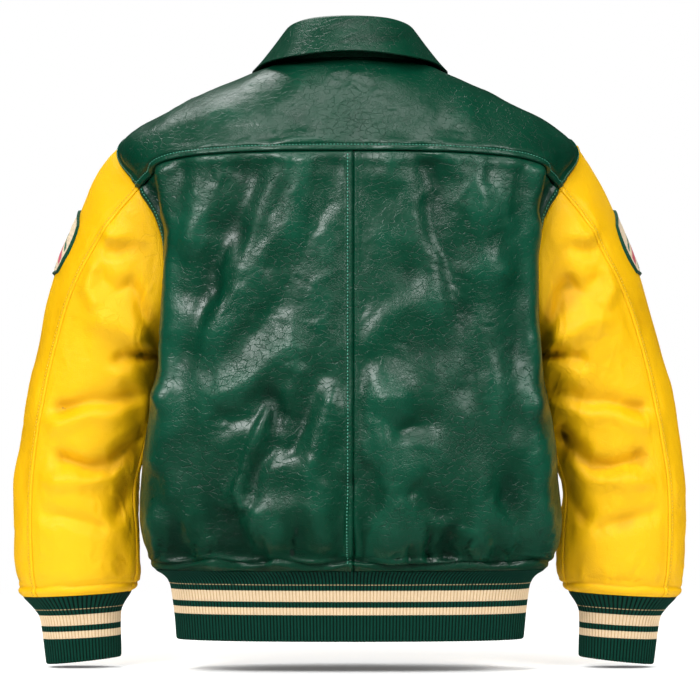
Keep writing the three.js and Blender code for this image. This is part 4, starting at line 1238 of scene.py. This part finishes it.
class Finish:
    """A node material, with short ways to add and join its nodes"""

    def __init__(self, name):
        self.material = bpy.data.materials.new(name)
        self.material.use_nodes = True
        self.nodes = self.material.node_tree.nodes
        self.links = self.material.node_tree.links
        self.shader = self.nodes["Principled BSDF"]

    def join(self, socket, value):
        if isinstance(value, bpy.types.NodeSocket):
            self.links.new(value, socket)
        else:
            socket.default_value = value

    def node(self, kind, sockets, **settings):
        made = self.nodes.new(kind)
        for key, value in settings.items():
            setattr(made, key, value)
        for key, value in sockets.items():
            self.join(made.inputs[key], value)
        return made

    def math(self, operation, a, b=0.0):
        return self.node("ShaderNodeMath", {0: a, 1: b}, operation=operation).outputs[0]

    def times(self, a, b):
        return self.math("MULTIPLY", a, b)

    def place(self):
        return self.node("ShaderNodeTexCoord", {}).outputs["Object"]

    def value(self, name):
        return self.node("ShaderNodeAttribute", {}, attribute_name=name).outputs["Fac"]

    def noise(self, where, scale, detail=2.0, roughness=0.5):
        sockets = {"Vector": where, "Scale": scale, "Detail": detail, "Roughness": roughness}
        return self.node("ShaderNodeTexNoise", sockets).outputs["Fac"]

    def cells(self, where, scale, feature="DISTANCE_TO_EDGE"):
        sockets = {"Vector": where, "Scale": scale}
        return self.node("ShaderNodeTexVoronoi", sockets, feature=feature).outputs["Distance"]

    def ramp(self, value, low, high, start=0.0, end=1.0):
        sockets = {0: value, 1: low, 2: high, 3: start, 4: end}
        return self.node("ShaderNodeMapRange", sockets, interpolation_type="SMOOTHSTEP").outputs[0]

    def band(self, value, low, high, soft):
        """1 between two limits and 0 outside them, with soft edges"""
        rise = self.ramp(value, low - soft, low + soft)
        return self.times(rise, self.ramp(value, high - soft, high + soft, 1.0, 0.0))

    def colour(self, share, a, b):
        made = self.node("ShaderNodeMix", {0: share}, data_type="RGBA")
        self.join(made.inputs[6], a)
        self.join(made.inputs[7], b)
        return made.outputs[2]

    def bent(self, where, scale, amount):
        """Coordinates pushed about by noise, so that cells lose their even look"""
        def vector(operation, sockets):
            return self.node("ShaderNodeVectorMath", sockets, operation=operation).outputs[0]

        sockets = {"Vector": where, "Scale": scale, "Detail": 2.0}
        push = self.node("ShaderNodeTexNoise", sockets).outputs["Color"]
        centred = vector("SUBTRACT", {0: push, 1: (0.5, 0.5, 0.5)})
        return vector("ADD", {0: where, 1: vector("SCALE", {0: centred, "Scale": amount})})

    def total(self, *parts):
        """The sum of weighted values"""
        made = 0.0
        for weight, value in parts:
            sockets = {0: value, 1: weight, 2: made}
            made = self.node("ShaderNodeMath", sockets, operation="MULTIPLY_ADD").outputs[0]
        return made

    def bump(self, height, distance):
        sockets = {"Height": height, "Distance": distance, "Strength": 1.0}
        self.join(self.shader.inputs["Normal"], self.node("ShaderNodeBump", sockets).outputs[0])

    def finish(self, **values):
        for key, value in values.items():
            self.join(self.shader.inputs[SOCKETS[key]], value)
        return self.material


def rgb(red, green, blue):
    return (red, green, blue, 1.0)


def green_leather():
    f = Finish("green_leather")
    where = f.place()
    bent = f.bent(where, 55, 0.012)
    slanted = f.node("ShaderNodeMapping", {0: bent, 2: (0.3, 0.2, 0.5), 3: (1.0, 1.0, 1.7)}).outputs[0]
    present = f.ramp(f.noise(where, 150, 1), 0.36, 0.52)
    veins = f.times(f.ramp(f.cells(slanted, 95), 0.05, 0), present)
    small = f.ramp(f.cells(f.bent(where, 170, 0.004), 330), 0.15, 0)
    patch = f.ramp(f.noise(where, 13, 3), 0.38, 0.60)
    other = f.ramp(f.noise(where, 21, 2), 0.44, 0.60, 0.1, 1.0)
    cloud = f.noise(where, 26, 4, 0.6)
    grain = f.noise(where, 1500, 2)
    ripple = f.noise(bent, 70, 3, 0.5)
    cracked = f.times(veins, f.ramp(patch, 0, 1, 0.5, 1.0))
    fine = f.times(small, other)
    height = f.total((-0.24, cracked), (-0.08, fine), (0.65, ripple), (0.015, grain))
    f.bump(height, 0.0011)
    tone = f.colour(cloud, rgb(0.0003, 0.029, 0.014), rgb(0.0009, 0.050, 0.024))
    # Partly wear, partly painted highlight: the leather is lighter where the lift value rises, on the fold
    # ridges and raised wrinkles
    wear_and_painted_highlight = f.ramp(f.value("lift"), 0.8, 4.0)
    # Painted shade: the leather is darker where the lift value sinks, in the fold troughs and hollows
    deep = f.ramp(f.value("lift"), -0.6, -3.6)
    tone = f.colour(f.times(wear_and_painted_highlight, 0.3), tone, rgb(0.006, 0.10, 0.055))
    tone = f.colour(f.times(deep, 0.42), tone, rgb(0.0002, 0.009, 0.005))
    # Painted shade: the crack lines are darker, as their grooves would be in shade
    tone = f.colour(f.times(cracked, 0.35), tone, rgb(0.0002, 0.012, 0.006))
    rough = f.total((0.13, cloud), (0.05, patch), (0.12, cracked), (0.04, fine), (0.235, 1.0))
    return f.finish(colour=tone, roughness=rough, specular=0.4)


def yellow_leather():
    f = Finish("yellow_leather")
    where = f.place()
    bent = f.bent(where, 45, 0.014)
    lines = f.ramp(f.cells(bent, 75), 0, 0.045)
    patch = f.ramp(f.noise(where, 15, 2), 0.50, 0.66)
    pebble = f.ramp(f.cells(f.bent(where, 300, 0.002), 620), 0, 0.30)
    cloud = f.noise(where, 20, 3, 0.55)
    soft = f.noise(bent, 65, 2)
    creased = f.times(f.math("SUBTRACT", 1.0, lines), patch)
    height = f.total((-0.30, creased), (0.16, pebble), (0.9, soft), (0.03, f.noise(where, 1400, 2)))
    f.bump(height, 0.0009)
    tone = f.colour(cloud, rgb(0.82, 0.44, 0.002), rgb(0.88, 0.50, 0.004))
    # Painted shade: the sleeves turn brown where the lift value sinks, in the fold troughs
    deep = f.ramp(f.value("lift"), -0.5, -3.6)
    # Painted shadow: nearly black in the deepest fold troughs
    deepest = f.ramp(f.value("lift"), -4.4, -6.4)
    tone = f.colour(f.times(deep, 0.4), tone, rgb(0.48, 0.20, 0.002))
    tone = f.colour(f.times(deepest, 0.9), tone, rgb(0.03, 0.011, 0.001))
    # Painted shade: darker orange along the crease lines
    tone = f.colour(f.times(creased, 0.12), tone, rgb(0.62, 0.32, 0.003))
    rough = f.total((0.14, cloud), (0.07, patch), (0.34, 1.0))
    return f.finish(colour=tone, roughness=rough, specular=0.20)


def lining():
    f = Finish("lining")
    where = f.place()
    weave = f.noise(where, 900, 1)
    fold = f.noise(where, 30, 3)
    f.bump(f.total((0.1, weave), (0.9, fold)), 0.0012)
    # Painted shade and light: the lining is darker in the hollows of its bumped folds and lighter on their
    # tops
    tone = f.colour(fold, rgb(0.004, 0.022, 0.014), rgb(0.010, 0.045, 0.028))
    return f.finish(colour=tone, roughness=f.ramp(weave, 0, 1, 0.42, 0.55), specular=0.4)


# The stripes' upper and lower edges, in millimetres down the band
CREAM_STRIPES = ((22.4, 35.0), (41.8, 50.2))
THIN_STRIPE = (15.15, 16.05)


def rib_knit():
    f = Finish("rib_knit")
    rib = f.value("rib")
    down = f.total((1.0, f.value("down")), (0.5, rib))
    cream = 0.0
    for top, bottom in CREAM_STRIPES:
        cream = f.math("MAXIMUM", cream, f.band(down, top, bottom, 0.25))
    broken = f.ramp(f.noise(f.place(), 120, 1), 0.30, 0.40, 0.3, 1.0)
    thin = f.times(f.times(f.band(down, *THIN_STRIPE, 0.15), broken), f.ramp(rib, 0.3, 0.8))
    slant = f.math("ABSOLUTE", f.total((2.0, rib), (-1.0, 1.0)))
    loops = f.math("SINE", f.total((4.6, f.value("down")), (1.8, slant)))
    yarn = f.noise(f.place(), 1100, 2)
    f.bump(f.total((0.16, loops), (0.35, yarn)), 0.0006)
    green = f.colour(yarn, rgb(0.0003, 0.025, 0.015), rgb(0.0008, 0.052, 0.032))
    # Painted shade: the green is darker in the gaps between the ribs
    green = f.colour(f.ramp(rib, 0.95, 0.2), green, rgb(0.0001, 0.006, 0.004))
    pale = f.colour(yarn, rgb(0.62, 0.46, 0.28), rgb(0.78, 0.62, 0.42))
    # Painted shade: the cream is darker in the gaps between the ribs
    pale = f.colour(f.ramp(rib, 0.7, 0.0), pale, rgb(0.50, 0.34, 0.18))
    tone = f.colour(cream, green, pale)
    tone = f.colour(thin, tone, rgb(0.45, 0.33, 0.18))
    return f.finish(colour=tone, roughness=0.9, specular=0.12, sheen=0.015, sheen_roughness=0.5)


# Lower and upper edges of the red bar and the two green bars, in millimetres up the patch
PATCH_BARS = ((-7, 5), (13, 19), (-22, -17))


def patch_chenille():
    f = Finish("patch_chenille")
    across = f.value("across")
    upward = f.value("upward")
    rim = f.value("rim")
    where = f.place()
    tuft = f.cells(where, 480, "F1")
    slope = f.total((1.0, upward), (0.62, f.math("ABSOLUTE", across)))
    inside = f.ramp(rim, 7.5, 8.5)
    red, green, low = (f.times(f.band(slope, *limits, 0.6), inside) for limits in PATCH_BARS)
    shade = f.noise(where, 260, 3)
    tone = f.colour(shade, rgb(0.60, 0.45, 0.27), rgb(0.84, 0.70, 0.50))
    tone = f.colour(red, tone, rgb(0.52, 0.055, 0.10))
    tone = f.colour(f.math("MAXIMUM", green, low), tone, rgb(0.006, 0.10, 0.055))
    edge = f.ramp(rim, 4.2, 5.0, 1.0, 0.0)
    tone = f.colour(edge, tone, rgb(0.0015, 0.052, 0.028))
    f.bump(f.total((-0.9, tuft), (0.25, f.noise(where, 1500, 2))), 0.0012)
    return f.finish(colour=tone, roughness=0.92, specular=0.15, sheen=0.15, sheen_roughness=0.5)


def thread(name, dark, light):
    f = Finish(name)
    twist = f.noise(f.place(), 900, 2)
    f.bump(twist, 0.0003)
    tone = f.colour(twist, dark, light)
    return f.finish(colour=tone, roughness=f.ramp(twist, 0, 1, 0.35, 0.5), specular=0.5)


def snap_metal():
    f = Finish("snap_metal")
    where = f.place()
    cloud = f.noise(where, 240, 3)
    scratch = f.noise(where, 1800, 1)
    f.bump(scratch, 0.00005)
    tone = f.colour(cloud, rgb(0.42, 0.43, 0.45), rgb(0.66, 0.66, 0.67))
    return f.finish(colour=tone, metallic=1.0, roughness=f.ramp(cloud, 0, 1, 0.16, 0.34))


GREEN_LEATHER = green_leather()
YELLOW_LEATHER = yellow_leather()
LINING = lining()
RIB_KNIT = rib_knit()
CHENILLE = patch_chenille()
# The green thread is lighter than the leather: partly its own colour, partly painted highlight for the shine
# its gloss catches
GREEN_THREAD = thread("green_thread", rgb(0.02, 0.17, 0.11), rgb(0.09, 0.36, 0.26))
YELLOW_THREAD = thread("yellow_thread", rgb(0.50, 0.30, 0.010), rgb(0.80, 0.50, 0.02))
METAL = snap_metal()


# Building

SIDE_NAMES = {-1: "left", 1: "right"}
GREEN = [GREEN_LEATHER, LINING]
YELLOW = [YELLOW_LEATHER, LINING]
KNIT_BOTH = [RIB_KNIT, RIB_KNIT]
KNIT_STRIDE = (3, RIB_POINTS)


def add_panel(node):
    """Hides the part's plain solid"""
    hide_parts(node)


def build_body():
    """The yoke, the backs and the fronts; returns the front that the snaps stand on"""
    yoke = yoke_piece()
    made = add_wall("yoke_leather", yoke, GREEN)
    rise = SHOULDER - YOKE_SEAM
    lines = [line_at(yoke, yoke["bottom"], STITCH_YOKE, 0)]
    for arm, from_end in zip(yoke["arms"], (False, True)):
        lines.append(line_at(yoke, arm, STITCH_ARM, 1, from_end, rows=slice(3, rise)))
    sewn = [add_stitches("yoke_stitches", lines, GREEN_THREAD)]
    add_panel("yoke")
    for side, name in SIDE_NAMES.items():
        back = back_piece(side)
        made = add_wall(f"back_{name}_leather", back, GREEN)
        lines = [line_at(back, back["arm"], STITCH_ARM, 1, True, rows=slice(UNDERARM, YOKE_SEAM - 3))]
        if side < 0:
            lines.append(line_at(back, back["centre"], STITCH_CENTRE, 1, rows=slice(6, YOKE_SEAM - 1)))
        sewn = [add_stitches(f"back_{name}_stitches", lines, GREEN_THREAD)]
        add_panel(f"back_{name}")
        front = front_piece(side)
        made = add_wall(f"front_{name}_leather", front, GREEN)
        lines = [line_at(front, front["arm"], STITCH_ARM, 1, rows=slice(UNDERARM, SHOULDER))]
        lines.append(line_at(front, front["edge"], STITCH_FRONT, 1, True, rows=slice(6, TOP - 2)))
        sewn = [add_stitches(f"front_{name}_stitches", lines, GREEN_THREAD)]
        add_panel(f"front_{name}")
        if side < 0:
            upper_front = front
    return upper_front


def build_sleeves():
    for side, name in SIDE_NAMES.items():
        for upper in (True, False):
            piece = sleeve_piece(side, upper)
            part = "upper" if upper else "under"
            made = add_wall(f"sleeve_{name}_{part}_leather", piece, YELLOW)
            if upper:
                lines = [line_at(piece, piece["back"], STITCH_SLEEVE, 1)]
                add_stitches(f"sleeve_{name}_stitches", lines, YELLOW_THREAD)
                patch = patch_piece(piece)
                sewn = add_wall(f"patch_{name}_chenille", patch, [CHENILLE, CHENILLE])
                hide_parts(f"patch_{name}")
            node = f"sleeve_{name}_{part}"
            add_panel(node)


def build_collar():
    piece = collar_piece()
    made = add_wall("collar_leather", piece, [GREEN_LEATHER, GREEN_LEATHER], stride=(1, 1))
    lines = [line_at(piece, piece["near"], STITCH_COLLAR, 1, True, rows=slice(2, -2))]
    sewn = [add_stitches("collar_stitches", lines, GREEN_THREAD)]
    add_panel("collar")


def build_knit():
    hem = hem_piece()
    hem["values"]["down"] = HEM["z"][0] - hem["points"][..., 2]
    made = add_wall("hem_knit", hem, KNIT_BOTH, stride=KNIT_STRIDE)
    add_panel("hem_band")
    for side, name in SIDE_NAMES.items():
        cuff = cuff_piece(side)
        axis = tube_axis({key: v[0] for key, v in CUFF.items() if key not in ("name", "size")}, side)
        start = cuff["points"][0].mean(axis=0)
        cuff["values"]["down"] = np.abs((cuff["points"] - start) @ axis)
        made = add_wall(f"cuff_{name}_knit", cuff, KNIT_BOTH, stride=KNIT_STRIDE, closed=True)
        add_panel(f"cuff_{name}")


def select_faces(made, wanted):
    """Selects the faces whose normal is wanted, in edit mode"""
    mesh = bmesh.from_edit_mesh(made.data)
    for face in mesh.faces:
        face.select_set(wanted(face.normal))
    mesh.select_flush_mode()
    bmesh.update_edit_mesh(made.data)


SNAP_RADIUS = 7.5
SNAP_HEIGHT = 1.5
SNAP_COUNT = 7
# Steps from the cap's edge to its middle: how far inwards and how far up
SNAP_STEPS = ((0.7, 0.35), (0.7, -0.1), (0.5, -0.75), (0.9, 0.8), (1.6, 0.45), (1.6, 0.15))


def snap_cap():
    """A pressed cap with a rolled rim and a shallow dome, facing +Z at the origin"""
    bpy.ops.object.select_all(action="DESELECT")
    radius = SNAP_RADIUS * MM
    depth = SNAP_HEIGHT * MM
    bpy.ops.mesh.primitive_cylinder_add(vertices=48, radius=radius, depth=depth, location=(0, 0, depth / 2))
    made = bpy.context.object
    bpy.ops.object.mode_set(mode="EDIT")
    bpy.ops.mesh.select_mode(type="FACE")
    select_faces(made, lambda normal: normal.z > 0.9)
    for inwards, up in SNAP_STEPS:
        bpy.ops.mesh.inset(thickness=inwards * MM, depth=up * MM)
    bpy.ops.object.mode_set(mode="OBJECT")
    bevel = made.modifiers.new("edges", "BEVEL")
    bevel.width = 0.12 * MM
    bevel.segments = 2
    bevel.limit_method = "ANGLE"
    bpy.ops.object.modifier_apply(modifier="edges")
    bpy.ops.object.transform_apply(location=True, rotation=True, scale=True)
    bpy.ops.object.shade_smooth_by_angle(angle=math.radians(40))
    made.data.materials.append(METAL)
    return made


def build_snaps(front):
    """Six caps up the front's edge and one on the hem band, each turned to face out"""
    cap = snap_cap()
    k = int(np.argmin(np.abs(front["points"][0, :, 0])))
    order = np.argsort(front["outer"][:, k, 2])
    heights = front["outer"][order, k, 2]
    for number in range(1, SNAP_COUNT + 1):
        node = f"snap_{number}"
        low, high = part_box(node)
        z = (low[2] + high[2]) / 2 / MM
        if number < SNAP_COUNT:
            place, facing = (
                np.array([np.interp(z, heights, front[key][order, k, c]) for c in range(3)])
                for key in ("outer", "normals")
            )
            facing = unit(facing)
        else:
            place = np.array([0, low[1] / MM - 0.3, z])
            facing = np.array([0, 1, 0.03])
        place[0] = 0
        facing[0] = 0
        made = bpy.data.objects.new(f"{node}_cap", cap.data.copy())
        bpy.context.scene.collection.objects.link(made)
        turn = Vector((0, 0, 1)).rotation_difference(Vector(facing)).to_matrix().to_4x4()
        made.data.transform(Matrix.Translation(Vector(place * MM)) @ turn)
        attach(made, "root")
        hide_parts(node)
    bpy.data.meshes.remove(cap.data)


upper_front = build_body()
build_sleeves()
build_collar()
build_knit()
build_snaps(upper_front)


# Studio

FLOOR_Z = -0.7075
FLOOR_RADIUS = 1.6
FLOOR_FADE = 0.6
# The camera's distance and its focal length in pixels of the picture give the photo's view
LOOK_AT = (0, 0, -0.33)
CAMERA = Vector((0, -5.0, -0.3387))
FOCAL_PIXELS = 4310
PICTURE_PIXELS = 700
SENSOR_WIDTH = 36
UNSEEN_WORLD = 0.025


def floor():
    bpy.ops.object.select_all(action="DESELECT")
    place = (0, 0, FLOOR_Z)
    bpy.ops.mesh.primitive_circle_add(vertices=96, radius=FLOOR_RADIUS, fill_type="NGON", location=place)
    made = bpy.context.object
    made.name = "floor"
    f = Finish("pale_floor")
    away = f.node("ShaderNodeVectorMath", {0: f.place()}, operation="LENGTH").outputs["Value"]
    shade = f.noise(f.place(), 6, 3)
    tone = f.colour(shade, rgb(0.90, 0.90, 0.90), rgb(0.93, 0.93, 0.93))
    f.finish(colour=tone, roughness=0.9, specular=0.1)
    f.join(f.shader.inputs["Alpha"], f.ramp(away, FLOOR_FADE, FLOOR_RADIUS, 1.0, 0.0))
    f.shader.inputs["Emission Color"].default_value = rgb(1, 1, 1)
    f.shader.inputs["Emission Strength"].default_value = 0.12
    made.data.materials.append(f.material)
    made.visible_glossy = False


def soft_light(name, place, size, power, seen=True):
    """A soft box; one that isn't seen leaves no highlights on the leather"""
    data = bpy.data.lights.new(name, "AREA")
    data.shape = "RECTANGLE"
    data.size, data.size_y = size
    data.energy = power
    made = bpy.data.objects.new(name, data)
    made.location = place
    made.rotation_euler = (Vector(LOOK_AT) - Vector(place)).to_track_quat("-Z", "Y").to_euler()
    made.visible_glossy = seen
    bpy.context.scene.collection.objects.link(made)


def world():
    """White to the camera, and a faint grey to everything else"""
    made = bpy.data.worlds.new("studio")
    bpy.context.scene.world = made
    made.use_nodes = True
    nodes = made.node_tree.nodes
    path = nodes.new("ShaderNodeLightPath")
    strength = nodes.new("ShaderNodeMix")
    strength.inputs[2].default_value = UNSEEN_WORLD
    strength.inputs[3].default_value = 1.0
    made.node_tree.links.new(path.outputs["Is Camera Ray"], strength.inputs[0])
    nodes["Background"].inputs["Color"].default_value = rgb(1, 1, 1)
    made.node_tree.links.new(strength.outputs[0], nodes["Background"].inputs["Strength"])


def camera():
    data = bpy.data.cameras.new("camera")
    data.sensor_width = SENSOR_WIDTH
    data.lens = FOCAL_PIXELS * SENSOR_WIDTH / PICTURE_PIXELS
    data.clip_end = 100
    made = bpy.data.objects.new("camera", data)
    made.location = CAMERA
    made.rotation_euler = (math.pi / 2, 0, 0)
    bpy.context.scene.collection.objects.link(made)
    bpy.context.scene.camera = made


floor()
soft_light("left_key", (-1.25, -2.35, 1.4), (1.2, 1.2), 82)
soft_light("right_key", (1.6, -2.25, 1.25), (1.2, 1.2), 44)
soft_light("overhead", (0.1, -1.3, 2.3), (1.7, 1.0), 24)
soft_light("right_fill", (2.5, -1.7, 0.9), (1.0, 1.6), 20, seen=False)
soft_light("left_fill", (-2.6, -1.4, 0.9), (1.0, 1.6), 16, seen=False)
soft_light("front_left_key", (-1.4, 2.3, 1.0), (1.4, 1.4), 62, seen=False)
soft_light("front_right_key", (1.7, 2.2, 0.9), (1.4, 1.4), 40, seen=False)
soft_light("front_top", (-0.7, 1.5, 2.3), (1.6, 1.2), 40)
world()
camera()
bpy.context.scene.view_settings.view_transform = "Standard"
